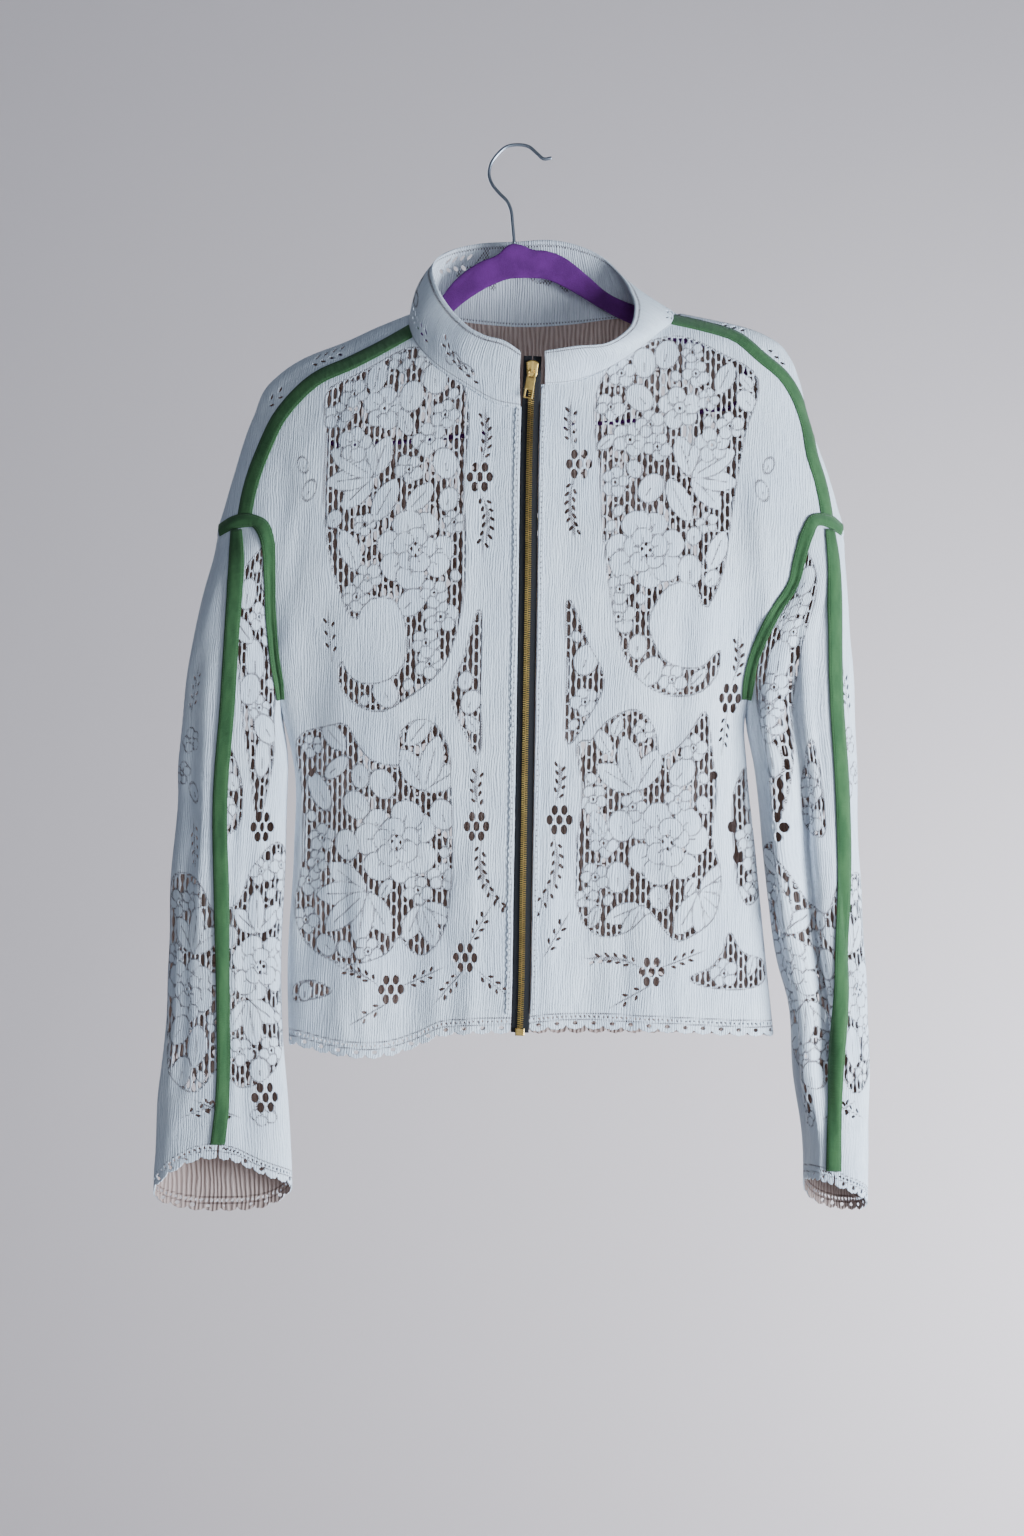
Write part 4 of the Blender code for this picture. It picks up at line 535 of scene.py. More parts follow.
def sleeve_form(side):
    """A sleeve as rings, each starting at the underarm and going round by the front."""
    table = SLEEVE_L if side == LEFT else SLEEVE_R
    z = np.arange(-1020.0, -343.0, 2.0)
    angle = np.linspace(0, 2 * math.pi, 241)[None, :]
    outer = curve(table, z, 1)[:, None]
    inner = curve(table, z, 2)[:, None]
    mid = curve(table, z, 3)[:, None]
    half = curve(table, z, 4)[:, None]
    power = 2 / 2.3
    across = np.sign(np.cos(angle)) * np.abs(np.cos(angle)) ** power
    deep = np.sign(np.sin(angle)) * np.abs(np.sin(angle)) ** power
    x = side * ((outer + inner) / 2 - (outer - inner) / 2 * across)
    y = mid - half * deep
    path = np.stack([x, y, np.broadcast_to(z[:, None], x.shape)], axis=2)
    points, girth = even(path, 160)
    part = np.linspace(0, 1, 161)[None, :]
    centre = np.stack([side * (outer + inner)[:, 0] / 2, mid[:, 0], z], axis=1)[:, None, :]
    inwards = unit(centre - points)
    for fold_side, at, top, bottom, width, depth in SLEEVE_FOLDS:
        if fold_side == side:
            run = ((top - z) / (top - bottom))[:, None]
            gate = soft_step(run * 3) * soft_step((1.1 - run) * 4)
            push = depth * gate * np.exp(-((part - at) / width) ** 2)
            points = points + inwards * push[:, :, None]
    return Form(z, points, girth)


BODY_FORM = {(s, f): body_form(s, f) for s in (LEFT, RIGHT) for f in (1, -1)}
SLEEVE_FORM = {s: sleeve_form(s) for s in (LEFT, RIGHT)}
ARMHOLE = {LEFT: ARMHOLE_L, RIGHT: ARMHOLE_R}
SHOULDER = {LEFT: SHOULDER_L, RIGHT: SHOULDER_R}


def run_length(points):
    """Length from the first point to each point of a broken line."""
    steps = np.linalg.norm(np.diff(points, axis=0), axis=1)
    return np.concatenate([[0.0], np.cumsum(steps)])


def along(points, count):
    """Evenly spaced points on the broken line through the given ones."""
    points = np.asarray(points, float)
    run = run_length(points)
    want = np.linspace(0, run[-1], count)
    return np.stack([np.interp(want, run, points[:, k]) for k in range(points.shape[1])], axis=1)


def rounded(points, count):
    """Evenly spaced points on a smooth curve through the given ones."""
    points = np.asarray(points, float)
    key = run_length(points)
    fine = np.linspace(0, key[-1], 40 * len(points))
    columns = []
    for k in range(points.shape[1]):
        columns.append(curve(np.stack([key, points[:, k]], axis=1), fine))
    return along(np.stack(columns, axis=1), count)


def body_surface(face):
    """Function from flat panel points to the front or back form, its halves joined."""
    def surface(flat):
        points = np.zeros((len(flat), 3))
        for side in (LEFT, RIGHT):
            pick = flat[:, 0] < 0 if side == LEFT else flat[:, 0] >= 0
            if pick.any():
                form = BODY_FORM[(side, face)]
                z = flat[pick, 1]
                points[pick] = form.at(np.abs(flat[pick, 0]) / form.girth(z), z)
        return points
    return surface


FRONT = body_surface(1)
BACK = body_surface(-1)


def facing_on(surface, flat, outward):
    """Outward directions of a surface from steps each way, turned to the given side."""
    d = 2.0
    right = np.array([d, 0.0])
    up = np.array([0.0, d])
    made = unit(np.cross(surface(flat + right) - surface(flat - right),
                         surface(flat + up) - surface(flat - up)))
    return made * outward


def on_body(side, face, line):
    """Flat panel points for points x, z seen from the front."""
    form = BODY_FORM[(side, face)]
    part = form.part_of(line[:, 0], line[:, 1])
    return np.stack([side * part * form.girth(line[:, 1]), line[:, 1]], axis=1)


# ---- flat coordinates of a sleeve: part of the girth times a mean girth, height
MEAN_GIRTH = 290.0
ARM_COUNT = 32
ARM_LINE = {s: rounded(ARMHOLE[s], ARM_COUNT) for s in (LEFT, RIGHT)}


def meeting(side):
    """Which armhole sample the shoulder seam ends at."""
    return int(np.argmin(np.linalg.norm(ARM_LINE[side] - SHOULDER[side][-1], axis=1)))


def armhole_rim(side):
    """The armhole seam as a closed row: front from underarm to ridge, back again down."""
    line = ARM_LINE[side]
    front = FRONT(on_body(side, 1, line))
    back = BACK(on_body(side, -1, line))
    form = SLEEVE_FORM[side]
    places = np.vstack([line[::-1], line[1:]])
    targets = np.vstack([front[::-1], back[1:]])
    part = np.zeros(len(places))
    fine = np.linspace(0, 0.5, 401)
    for k, (place, target) in enumerate(zip(places, targets)):
        way = fine if k < ARM_COUNT else 1 - fine
        ring = form.at(way, np.full(401, place[1]))
        part[k] = way[np.argmin(np.linalg.norm(ring - target, axis=1))]
    part[ARM_COUNT - 1] = 0.5
    part[0] = 0.0
    part[-1] = 1.0
    flat = np.stack([part * MEAN_GIRTH, places[:, 1]], axis=1)
    return flat, targets - form.at(part, places[:, 1])


def finer(rows, times):
    """Rows with more rows between, in even steps."""
    key = np.arange(len(rows), dtype=float)
    at = np.linspace(0, len(rows) - 1, (len(rows) - 1) * times + 1)
    return np.stack([np.interp(at, key, rows[:, k]) for k in range(rows.shape[1])], axis=1)


def eased_sleeve(side):
    """The sleeve's form drawn to the armhole: each point moves by the seam's own shift,
    weighed by nearness to the fourth power and faded out over 110 mm."""
    form = SLEEVE_FORM[side]
    rim, shift = [finer(table, 6) for table in RIM[side]]
    rows, count = form.points.shape[:2]
    part, z = np.meshgrid(np.linspace(0, 1, count), form.z)
    flat = np.stack([part.ravel() * MEAN_GIRTH, z.ravel()], axis=1)
    points = form.points.reshape(-1, 3).copy()
    near_top = np.where(flat[:, 1] > -660)[0]
    for low in range(0, len(near_top), 6000):
        here = near_top[low:low + 6000]
        gap = np.linalg.norm(flat[here][:, None, :] - rim[None, :, :], axis=2)
        near = 1 / (gap ** 2 + 0.02) ** 2
        moved = (near[:, :, None] * shift[None]).sum(axis=1) / near.sum(axis=1)[:, None]
        points[here] += moved * soft_step(1 - gap.min(axis=1) / 110.0)[:, None]
    return Form(form.z, points.reshape(rows, count, 3), form.girth_rows)


RIM = {s: armhole_rim(s) for s in (LEFT, RIGHT)}
SLEEVE_EASED = {s: eased_sleeve(s) for s in (LEFT, RIGHT)}


def sleeve_surface(side):
    """Function from flat sleeve points to the eased sleeve form."""
    def surface(flat):
        return SLEEVE_EASED[side].at(flat[:, 0] / MEAN_GIRTH, flat[:, 1])
    return surface


SLEEVE = {s: sleeve_surface(s) for s in (LEFT, RIGHT)}


# ---------------------------------------------------------------- panel outlines
def hem_line(side, count):
    """Front hem seam in flat points, from the zip edge to the side seam."""
    x = np.linspace(side * 6.0, side * 262.0, 90)
    z = curve(HEM_FRONT, x)
    form = BODY_FORM[(side, 1)]
    edge = form.at(np.ones(90), z)[:, 0] * side
    keep = x * side < edge
    flat = on_body(side, 1, np.stack([x, z], axis=1)[keep])
    last = z[keep][-1]
    flat = np.vstack([flat, (side * form.girth(last), last)])
    first = np.array([(side * (ZIP_TAPE + SEAM), flat[0, 1])])
    keep = np.abs(flat[:, 0]) > ZIP_TAPE + SEAM + 2
    return along(np.vstack([first, flat[keep]]), count)


def scallops(length):
    """Points along an edging: twelve to a scallop."""
    return int(round(length / SCALLOP)) * 12 + 1


def scalloped(line, height):
    """The lace's own edge below a line: round lobes with three small picots on each."""
    turn = np.arange(len(line)) * math.pi / 12
    lobe = np.abs(np.sin(turn)) ** 0.6
    picot = np.abs(np.sin(turn * 3))
    out = line.copy()
    out[:, 1] -= height * (0.70 + 0.24 * lobe + 0.08 * picot)
    return out


def side_edge(side, face, low, high, count):
    """The side seam or ridge in flat points, from one height to another."""
    z = np.linspace(low, high, count)
    return np.stack([side * BODY_FORM[(side, face)].girth(z), z], axis=1)


def shoulder_line(side):
    """The shoulder seam from the neck to the armhole sample where it ends."""
    rows = np.vstack([SHOULDER[side][:-1], ARM_LINE[side][meeting(side)]])
    return rounded(rows, 40)


HEM_SEAM = {s: hem_line(s, scallops(abs(hem_line(s, 9)[-1, 0]))) for s in (LEFT, RIGHT)}


def front_outline(side):
    """Outline of a front: hem, side, armhole, shoulder, neck and zip edge."""
    hem = scalloped(HEM_SEAM[side], HEM_EDGE)
    seam = side_edge(side, 1, hem[-1, 1], ARMHOLE[side][-1, 1], 40)
    arm = on_body(side, 1, ARM_LINE[side][meeting(side):][::-1])
    arm[0] = seam[-1]
    shoulder = on_body(side, 1, shoulder_line(side)[::-1])
    rows = COLLAR[:6] if side == LEFT else COLLAR[:13:-1]
    neck = rows[::-1, 1:3]
    start = SHOULDER[side][0]
    neck = rounded(np.vstack([start, neck[neck[:, 1] < start[1] - 4]]), 24)
    neck[1:, 1] -= 1.4
    neck = on_body(side, 1, neck)
    neck = neck[np.abs(neck[:, 0]) > ZIP_TAPE + SEAM + 1]
    edge = side * (ZIP_TAPE + SEAM)
    zip_edge = np.array([(edge, neck[-1, 1]), (edge, hem[0, 1])])
    return np.vstack([hem[:-1], seam[:-1], arm[:-1], shoulder[:-1], neck, zip_edge[:-1]])


def back_seam():
    """Back hem seam in flat points, from the left side seam to the right one."""
    ends = [s * BODY_FORM[(s, -1)].girth(np.array([HEM_BACK]))[0] for s in (LEFT, RIGHT)]
    x = np.linspace(ends[0], ends[1], scallops(ends[1] - ends[0]))
    return np.stack([x, np.full(len(x), HEM_BACK)], axis=1)


def back_outline():
    """Outline of the whole back, from the left hem corner round by the right side."""
    hem = scalloped(back_seam(), HEM_EDGE)
    rows = [hem[:-1]]
    for side in (RIGHT, LEFT):
        seam = side_edge(side, -1, hem[-1 if side == RIGHT else 0, 1], ARMHOLE[side][-1, 1], 40)
        arm = on_body(side, -1, ARM_LINE[side][::-1])
        arm[0] = seam[-1]
        ridge = side_edge(side, -1, -370.0, -157.0, 60)
        part = np.vstack([seam[:-1], arm[:-1], ridge])
        if side == RIGHT:
            rows.append(part)
            neck = COLLAR[7:13][::-1, 1:3]
            neck = rounded(np.vstack([(148, -158), neck, (-95, -158)]), 40)[1:-1]
            flat = [on_body(RIGHT if p[0] > 14 else LEFT, -1, p[None])[0] for p in neck]
            rows.append(np.array(flat))
        else:
            rows.append(part[::-1])
    return np.vstack(rows)[:-1]


def yoke_outline(side):
    """The part of the back that comes over the ridge to the shoulder seam."""
    top = side_edge(side, 1, -370.0, -157.0, 60)
    seam = on_body(side, 1, shoulder_line(side))
    arm = on_body(side, 1, ARM_LINE[side][:meeting(side) + 1][::-1])
    return np.vstack([top, seam[:-1], arm[:-1]])


def cuff_z(side, part):
    """Height of the cuff seam at a part of the girth."""
    return curve(CUFF_L if side == LEFT else CUFF_R, np.asarray(part, float))


def stripe_part(side, z):
    """Part of the girth where the sleeve's stripe and its seam run."""
    table = SLEEVE_STRIPE_L if side == LEFT else SLEEVE_STRIPE_R
    x = curve(table, z)
    form = SLEEVE_FORM[side]
    found = np.zeros(len(z))
    for k in range(len(z)):
        ring = form.at(np.linspace(0.02, 0.5, 161), np.full(161, float(z[k])))[:, 0]
        found[k] = np.interp(side * x[k], side * ring, np.linspace(0.02, 0.5, 161))
    return found


CUFF_SCALLOPS = 7      # on the front half of a cuff; the back half has twice as many


def cuff_line(side, start, end, scallops_here):
    """The cuff seam in flat points, twelve to a scallop."""
    part = np.linspace(start, end, 12 * scallops_here + 1)
    return np.stack([part * MEAN_GIRTH, cuff_z(side, part)], axis=1)


def stripe_rows(side, count):
    """Heights at which the sleeve's stripe seam is worked out."""
    end = stripe_part(side, np.array([-960.0]))[0]
    return np.linspace(-376.0, cuff_z(side, [end])[0], count)


def sleeve_outline(side, front):
    """Outline of half a sleeve: stripe seam, armhole, underarm seam and cuff."""
    rim = RIM[side][0]
    rows = stripe_rows(side, 80)
    part = stripe_part(side, rows)
    seam = np.stack([part * MEAN_GIRTH, rows], axis=1)
    top = int(np.argmin(np.abs(rim[:, 0] - seam[0, 0]) + 1e3 * (rim[:, 1] < -380)))
    split = part[-1]
    if front:
        cuff = scalloped(cuff_line(side, split, 0.0, CUFF_SCALLOPS), CUFF_EDGE)
        under = np.array([(0.0, cuff[-1, 1])])
        return np.vstack([rim[:top + 1], seam[:-1], cuff[:-1], under])
    cuff = scalloped(cuff_line(side, 1.0, split, 2 * CUFF_SCALLOPS), CUFF_EDGE)
    return np.vstack([seam[::-1][:-1], seam[:1], rim[top:], cuff[:-1]])


# ---------------------------------------------------------------- the lace, drawn flat
def ring(points, count):
    """Smooth closed outline through a few points."""
    points = np.asarray(points, float)
    around = np.vstack([points[-3:], points, points[:3]])
    key = run_length(around)
    at = np.linspace(key[3], key[3 + len(points)], count + 1)[:-1]
    return np.stack([curve(np.stack([key, around[:, k]], axis=1), at) for k in (0, 1)], axis=1)


def edge_distance(points, outline):
    """Distance of points from a closed outline, positive inside: the nearest of all its
    sides, with the sign from how many sides a level line to the right crosses."""
    a = outline
    b = np.roll(outline, -1, axis=0)
    run = b - a
    square = np.maximum((run ** 2).sum(axis=1), 1e-9)
    found = np.zeros(len(points))
    for low in range(0, len(points), 12000):
        p = points[low:low + 12000]
        dx = p[:, 0, None] - a[:, 0]
        dz = p[:, 1, None] - a[:, 1]
        t = np.clip((dx * run[:, 0] + dz * run[:, 1]) / square, 0, 1)
        near = ((dx - t * run[:, 0]) ** 2 + (dz - t * run[:, 1]) ** 2).min(axis=1)
        above = (a[:, 1] > p[:, 1, None]) != (b[:, 1] > p[:, 1, None])
        slope = run[:, 0] / np.where(run[:, 1] == 0, 1e-9, run[:, 1])
        crosses = above & (dx < slope * dz)
        sign = np.where(crosses.sum(axis=1) % 2 == 1, 1.0, -1.0)
        found[low:low + 12000] = np.sqrt(near) * sign
    return found


def net(u, z):
    """Upright cells in columns, three by seven steps of the grid, every second column half
    a cell up: distance from the nearest cell's oval, positive on the threads."""
    step = u[0, 1] - u[0, 0]
    wide, high = 3 * step, 7 * step
    column = np.round((u - step / 2) / wide)
    du = u - step / 2 - wide * column
    shift = (column % 2) * high / 2
    dz = (z - shift + high / 2) % high - high / 2
    reach = np.sqrt((du / (0.425 * wide)) ** 2 + (dz / (0.48 * high)) ** 2)
    return (reach - 1) * 0.4 * wide


def local(u, z, x, height, turn):
    """Coordinates along and across a motif that is turned by some degrees."""
    angle = math.radians(turn)
    du = u - x
    dz = z - height
    return (du * math.cos(angle) + dz * math.sin(angle),
            dz * math.cos(angle) - du * math.sin(angle))


def leaf(p, q, long, wide):
    """A pointed leaf with a toothed edge."""
    part = np.clip(1 - (2 * p / long) ** 2, 0, 1)
    teeth = 1.2 * np.abs(((p / 6.0) % 1.0) - 0.5)
    half = wide / 2 * part ** 0.75 + teeth * part
    return np.where(np.abs(p) < long / 2, half - np.abs(q),
                    -np.abs(q) - (np.abs(p) - long / 2))


def petal(p, q, long, wide):
    """A plain oval."""
    return (1 - np.sqrt((2 * p / long) ** 2 + (2 * q / wide) ** 2)) * wide / 2


def flower(x, z, size, turn, circles):
    """Petals in circles, the inner ones over the outer: number, share of the size at
    which they sit, their length along the way out and their width."""
    rows = []
    for number, reach, long, wide in circles:
        for k in range(number):
            way = turn + 360.0 * k / number + 8 * math.sin(3.7 * k + turn + number)
            a = math.radians(way)
            swell = 1 + 0.10 * math.sin(2.3 * k + turn)
            rows.append((PETAL, x + reach * size * math.cos(a), z + reach * size * math.sin(a),
                         long * size * swell, wide * size * swell, way))
    return rows


def simple_forms(motifs):
    """Each motif as leaves and petals from the lowest to the uppermost, and the small
    gaps in the hearts of the flowers."""
    rows, hearts = [], []
    for kind, x, z, long, wide, turn in motifs:
        if kind == ROSE:
            rows += flower(x, z, long, turn, ((7, 0.68, 0.60, 0.70), (5, 0.33, 0.46, 0.52),
                                              (1, 0.0, 0.36, 0.36)))
            hearts += [(x + long * a, z + long * b, 1.35, 2.4, 0.0)
                       for a, b in ((-0.10, 0.03), (0.10, 0.0), (0.0, 0.15), (0.01, -0.14))]
        elif kind == BLOSSOM:
            rows += flower(x, z, long, turn, ((5, 0.56, 0.84, 0.82), (1, 0.0, 0.5, 0.5)))
            hearts.append((x, z, 1.5, 2.0, 0.0))
        elif kind == FAN:
            for k in sorted(range(int(wide)), key=lambda k: -abs(k - (wide - 1) / 2)):
                off = (k - (wide - 1) / 2) / max(wide - 1, 1) * 2
                way = math.radians(turn + off * (78 if wide > 3 else 44))
                reach = long * (1 - 0.16 * abs(off)) * 0.92
                rows.append((LEAF, x + reach / 2 * math.cos(way), z + reach / 2 * math.sin(way),
                             reach, long * 0.37, math.degrees(way)))
        else:
            rows.append((kind, x, z, long, wide, turn))
    return rows, hearts


def form_field(u, z, form):
    """Distance from the edge of one leaf or petal, positive on its cloth, and from its
    drawn rib."""
    kind, x, height, long, wide, turn = form
    p, q = local(u, z, x, height, turn)
    if kind == LEAF:
        rib = np.where(np.abs(p + long * 0.05) < long * 0.34, np.abs(q), FAR)
        return leaf(p, q, long, wide), rib
    rib = np.where((p > -long * 0.30) & (p < long * 0.02) & (long > 15), np.abs(q), FAR)
    return petal(p, q, long, wide), rib


def lay_form(u, z, form, woven, line):
    """Put one form over those already laid: its own outline shows, theirs is covered."""
    reach = max(form[3], form[4]) * 0.5 + 5
    rows = np.where(np.abs(z[:, 0] - form[2]) < reach)[0]
    columns = np.where(np.abs(u[0] - form[1]) < reach)[0]
    if len(rows) == 0 or len(columns) == 0:
        return
    part = (slice(rows[0], rows[-1] + 1), slice(columns[0], columns[-1] + 1))
    own, rib = form_field(u[part], z[part], form)
    woven[part] = np.maximum(woven[part], own)
    kept = np.where(own > 0.8, FAR, line[part])
    line[part] = np.minimum(kept, np.minimum(np.abs(own), rib))


def filling(u, z, room, woven, line, seed):
    """Fill what is left of the windows with petals and blossoms, the largest first, each
    where a scattered place has room for it."""
    scatter = np.random.default_rng(seed)
    hearts = []
    spots = np.argwhere(room > 4)
    if len(spots) == 0:
        return hearts
    for size, tries, spare in ((14.0, 300, 0.6), (11.0, 400, 2.0), (8.5, 500, 2.6),
                              (5.5, 400, 3.4)):
        for j, i in spots[scatter.integers(0, len(spots), tries)]:
            free = min(room[j, i] + size * 0.4, -woven[j, i])
            if free < size * 0.92 + spare:
                continue
            turn = scatter.uniform(40, 140)
            if size > 10 and scatter.random() < 0.6:
                more, own = simple_forms([(BLOSSOM, u[j, i], z[j, i], size, 0, turn)])
                hearts += own
            elif size > 8 and scatter.random() < 0.4:
                more = [(LEAF, u[j, i], z[j, i], size * 2.4, size * 1.25, turn)]
            else:
                more = [(PETAL, u[j, i], z[j, i], size * 2.1, size * 1.6, turn)]
            for form in more:
                lay_form(u, z, form, woven, line)
    return hearts


def sprig_steps(sprigs):
    """Places along each stem: x, z, the stem's turn there and the length of a step."""
    for x, z, length, way, bend, pairs in sprigs:
        for k in range(int(pairs)):
            share = (k + 0.5) / pairs
            turn = math.radians(way + bend * (2 * share - 1))
            yield (x + length * share * math.cos(turn), z + length * share * math.sin(turn),
                   turn, length / pairs)


def gap_rows(clusters, gaps, sprigs):
    """All single gaps as rows: x, z, half width, half height, turn in degrees."""
    rows = [(x, z, width / 2, height / 2, 0.0) for x, z, width, height in gaps]
    for x, z in clusters:
        rows.append((x, z, GAP[0] / 2, GAP[1] / 2, 0.0))
        for k in range(6):
            turn = math.radians(60 * k)
            rows.append((x + CLUSTER_PITCH * math.cos(turn),
                         z + CLUSTER_PITCH * 1.15 * math.sin(turn), GAP[0] / 2, GAP[1] / 2, 0.0))
    for x, z, turn, _ in sprig_steps(sprigs):
        for hand in (-1, 1):
            rows.append((x - hand * 3.6 * math.sin(turn) + 2 * math.cos(turn) * hand,
                         z + hand * 3.6 * math.cos(turn) + 2 * math.sin(turn) * hand,
                         *SPRIG_GAP, math.degrees(turn + hand * 0.6) - 90))
    return np.array(rows)


def stem_rows(sprigs):
    """The drawn stems of the sprigs, as thin ovals end to end."""
    return np.array([(x, z, 0.3, step * 0.6, math.degrees(turn) - 90)
                     for x, z, turn, step in sprig_steps(sprigs)])


def gap_field(u, z, rows):
    """Distance from the nearest single gap, negative inside it."""
    found = np.full(u.shape, 12.0)
    for x, height, half_wide, half_high, turn in rows:
        rows_near = np.where(np.abs(z[:, 0] - height) < 14)[0]
        near = np.where(np.abs(u[0] - x) < 14)[0]
        if len(rows_near) and len(near):
            near = (slice(rows_near[0], rows_near[-1] + 1), slice(near[0], near[-1] + 1))
            p, q = local(u[near], z[near], x, height, turn)
            away = np.sqrt((p / half_wide) ** 2 + (q / half_high) ** 2) - 1
            found[near] = np.minimum(found[near], away * min(half_wide, half_high))
    return found


def lace_field(u, z, windows, motifs, drawn, gaps, stems, seed):
    """The cloth field, and the distance to the dotted line round every form, along which the white
    cloth gets dark dots of painted shade for the lace's small holes.
    """
    flat = np.stack([u.ravel(), z.ravel()], axis=1)
    window = np.full(u.shape, -FAR)
    for outline in windows:
        near = edge_distance(flat, ring(outline, 90)).reshape(u.shape)
        window = np.maximum(window, near)
    woven = np.full(u.shape, -FAR)
    line = np.full(u.shape, FAR)
    forms, hearts = simple_forms(motifs)
    for form in forms:
        lay_form(u, z, form, woven, line)
    hearts += filling(u, z, window, woven, line, seed)
    line = np.where(window > -0.5, line, FAR)
    # In the net between the woven forms the line is held at 0.95 mm, so that the white cloth gets
    # its painted shade over the net.
    line = np.where((woven < 0) & (window > 0), np.minimum(line, 0.95), line)
    woven = np.maximum(woven, net(u, z))
    cloth = np.where(window > -0.8, np.maximum(woven, -window - 0.8), FAR)
    line = np.minimum(line, np.abs(window + 1.0))
    for form in simple_forms(drawn)[0]:
        lay_form(u, z, form, np.full(u.shape, 0.0), line)
    line = np.minimum(line, np.maximum(gap_field(u, z, stems), 0) + 0.2)
    if hearts:
        gaps = np.vstack([gaps, hearts])
    return np.minimum(cloth, gap_field(u, z, gaps)), line


# Corners 0 to 3 of a cell turn left from its lower left; 4 to 7 are the crossings of its
# lower, right, upper and left side.  16 and 17 are the two saddles when their middle is cloth.
CELL_SHAPES = {
    1: (0, 4, 7), 2: (1, 5, 4), 3: (0, 1, 5, 7), 4: (2, 6, 5), 6: (1, 2, 6, 4),
    7: (0, 1, 2, 6, 7), 8: (3, 7, 6), 9: (0, 4, 6, 3), 11: (0, 1, 5, 6, 3), 12: (2, 3, 7, 5),
    13: (0, 4, 5, 2, 3), 14: (1, 2, 3, 7, 4), 15: (0, 1, 2, 3), 16: (0, 4, 5, 2, 6, 7),
    17: (1, 5, 6, 3, 7, 4)}
SPLIT_SADDLES = {5: ((0, 4, 7), (2, 6, 5)), 10: ((1, 5, 4), (3, 7, 6))}


def cut_cloth(u, z, field, plain=2.2, detail=None):
    """Flat triangles of the cloth, where a field on an even grid is above zero; detail is a
    second field that must be far above zero too where cells are joined.

    Each cell gives the part of its square inside the straight crossings of the field.
    Blocks in which the whole field is far above zero become eight or so large triangles
    round their middle, with a point at each grid step only where a neighbour is fine."""
    rows, columns = field.shape
    index = np.arange(rows * columns).reshape(rows, columns)
    total = rows * columns
    cloth = field > 0
    high = (rows - 1) // BLOCK
    wide = (columns - 1) // BLOCK
    least = np.full((high, wide), 1e9)
    both = field if detail is None else np.minimum(field, detail)
    for j in range(BLOCK + 1):
        for i in range(BLOCK + 1):
            least = np.minimum(least, both[j:j + BLOCK * high:BLOCK, i:i + BLOCK * wide:BLOCK]
                               [:high, :wide])
    coarse = least > plain
    triangles = []

    # fine cells
    c = [cloth[:-1, :-1], cloth[:-1, 1:], cloth[1:, 1:], cloth[1:, :-1]]
    case = c[0] * 1 + c[1] * 2 + c[2] * 4 + c[3] * 8
    middle = field[:-1, :-1] + field[:-1, 1:] + field[1:, 1:] + field[1:, :-1] > 0
    case = np.where((case == 5) & middle, 16, np.where((case == 10) & middle, 17, case))
    covered = np.repeat(np.repeat(coarse, BLOCK, axis=0), BLOCK, axis=1)
    case = np.where(covered, 0, case)
    corner = [index[:-1, :-1], index[:-1, 1:], index[1:, 1:], index[1:, :-1]]
    names = corner + [total + corner[0], 2 * total + corner[1], total + corner[3],
                      2 * total + corner[0]]
    shapes = [(k, s) for k, s in CELL_SHAPES.items()]
    shapes += [(k, s) for k, pair in SPLIT_SADDLES.items() for s in pair]
    for number, shape in shapes:
        pick = case == number
        if pick.any():
            at = [names[k][pick] for k in shape]
            for k in range(1, len(shape) - 1):
                triangles.append(np.stack([at[0], at[k], at[k + 1]], axis=1))

    # plain blocks
    padded = np.zeros((high + 2, wide + 2), bool)
    padded[1:-1, 1:-1] = coarse
    j, i = np.where(coarse)
    start = index[j * BLOCK, i * BLOCK]
    heart = start + (BLOCK // 2) * columns + BLOCK // 2
    sides = [((0, -1), 0, 1), ((1, 0), BLOCK, columns), ((0, 1), BLOCK * columns + BLOCK, -1),
             ((-1, 0), BLOCK * columns, -columns)]
    for (right, up), first, step in sides:
        joined = padded[j + 1 + up, i + 1 + right]
        a = start + first
        triangles.append(np.stack([heart, a, a + BLOCK * step], axis=1)[joined])
        for k in range(BLOCK):
            triangles.append(np.stack([heart, a + k * step, a + (k + 1) * step], axis=1)[~joined])
    triangles = np.vstack(triangles)

    used, triangles = np.unique(triangles, return_inverse=True)
    triangles = triangles.reshape(-1, 3)
    kind = used // total
    at = used % total
    other = at + np.where(kind == 1, 1, np.where(kind == 2, columns, 0))
    other = np.minimum(other, total - 1)
    f = field.ravel()
    share = np.where(kind == 0, 0.0, f[at] / np.where(f[at] == f[other], 1, f[at] - f[other]))
    share = np.where(kind == 0, 0.0, np.clip(share, 0.06, 0.94))
    place = np.stack([u.ravel(), z.ravel()], axis=1)
    flat = place[at] * (1 - share)[:, None] + place[other] * share[:, None]
    return flat, triangles, at, other, share


# ---------------------------------------------------------------- finishes
class Signal:
    """A number on its way to a shader: each operator adds one Math node."""

    def __init__(self, finish, socket):
        self.finish = finish
        self.socket = socket

    def maths(self, operation, other=0.0, swapped=False):
        pair = (other, self) if swapped else (self, other)
        return self.finish.node("ShaderNodeMath", {"operation": operation},
                                {0: pair[0], 1: pair[1]})

    def between_two(operation):
        """The method for one operator between two numbers."""
        return lambda self, other: self.maths(operation, other)

    __add__ = __radd__ = between_two("ADD")
    __mul__ = __rmul__ = between_two("MULTIPLY")
    __sub__ = between_two("SUBTRACT")
    __truediv__ = between_two("DIVIDE")
    __gt__ = between_two("GREATER_THAN")
    __lt__ = between_two("LESS_THAN")

    def __rsub__(self, other):
        return self.maths("SUBTRACT", other, swapped=True)

    def __abs__(self):
        return self.maths("ABSOLUTE")

    def sine(self):
        return self.maths("SINE")

    def fraction(self):
        return self.maths("FRACT")

    def between(self, low, high):
        """Zero below one number, one above the other, smooth between."""
        return self.finish.node("ShaderNodeMapRange", {"interpolation_type": "SMOOTHSTEP"},
                                {"Value": self, "From Min": low, "From Max": high})


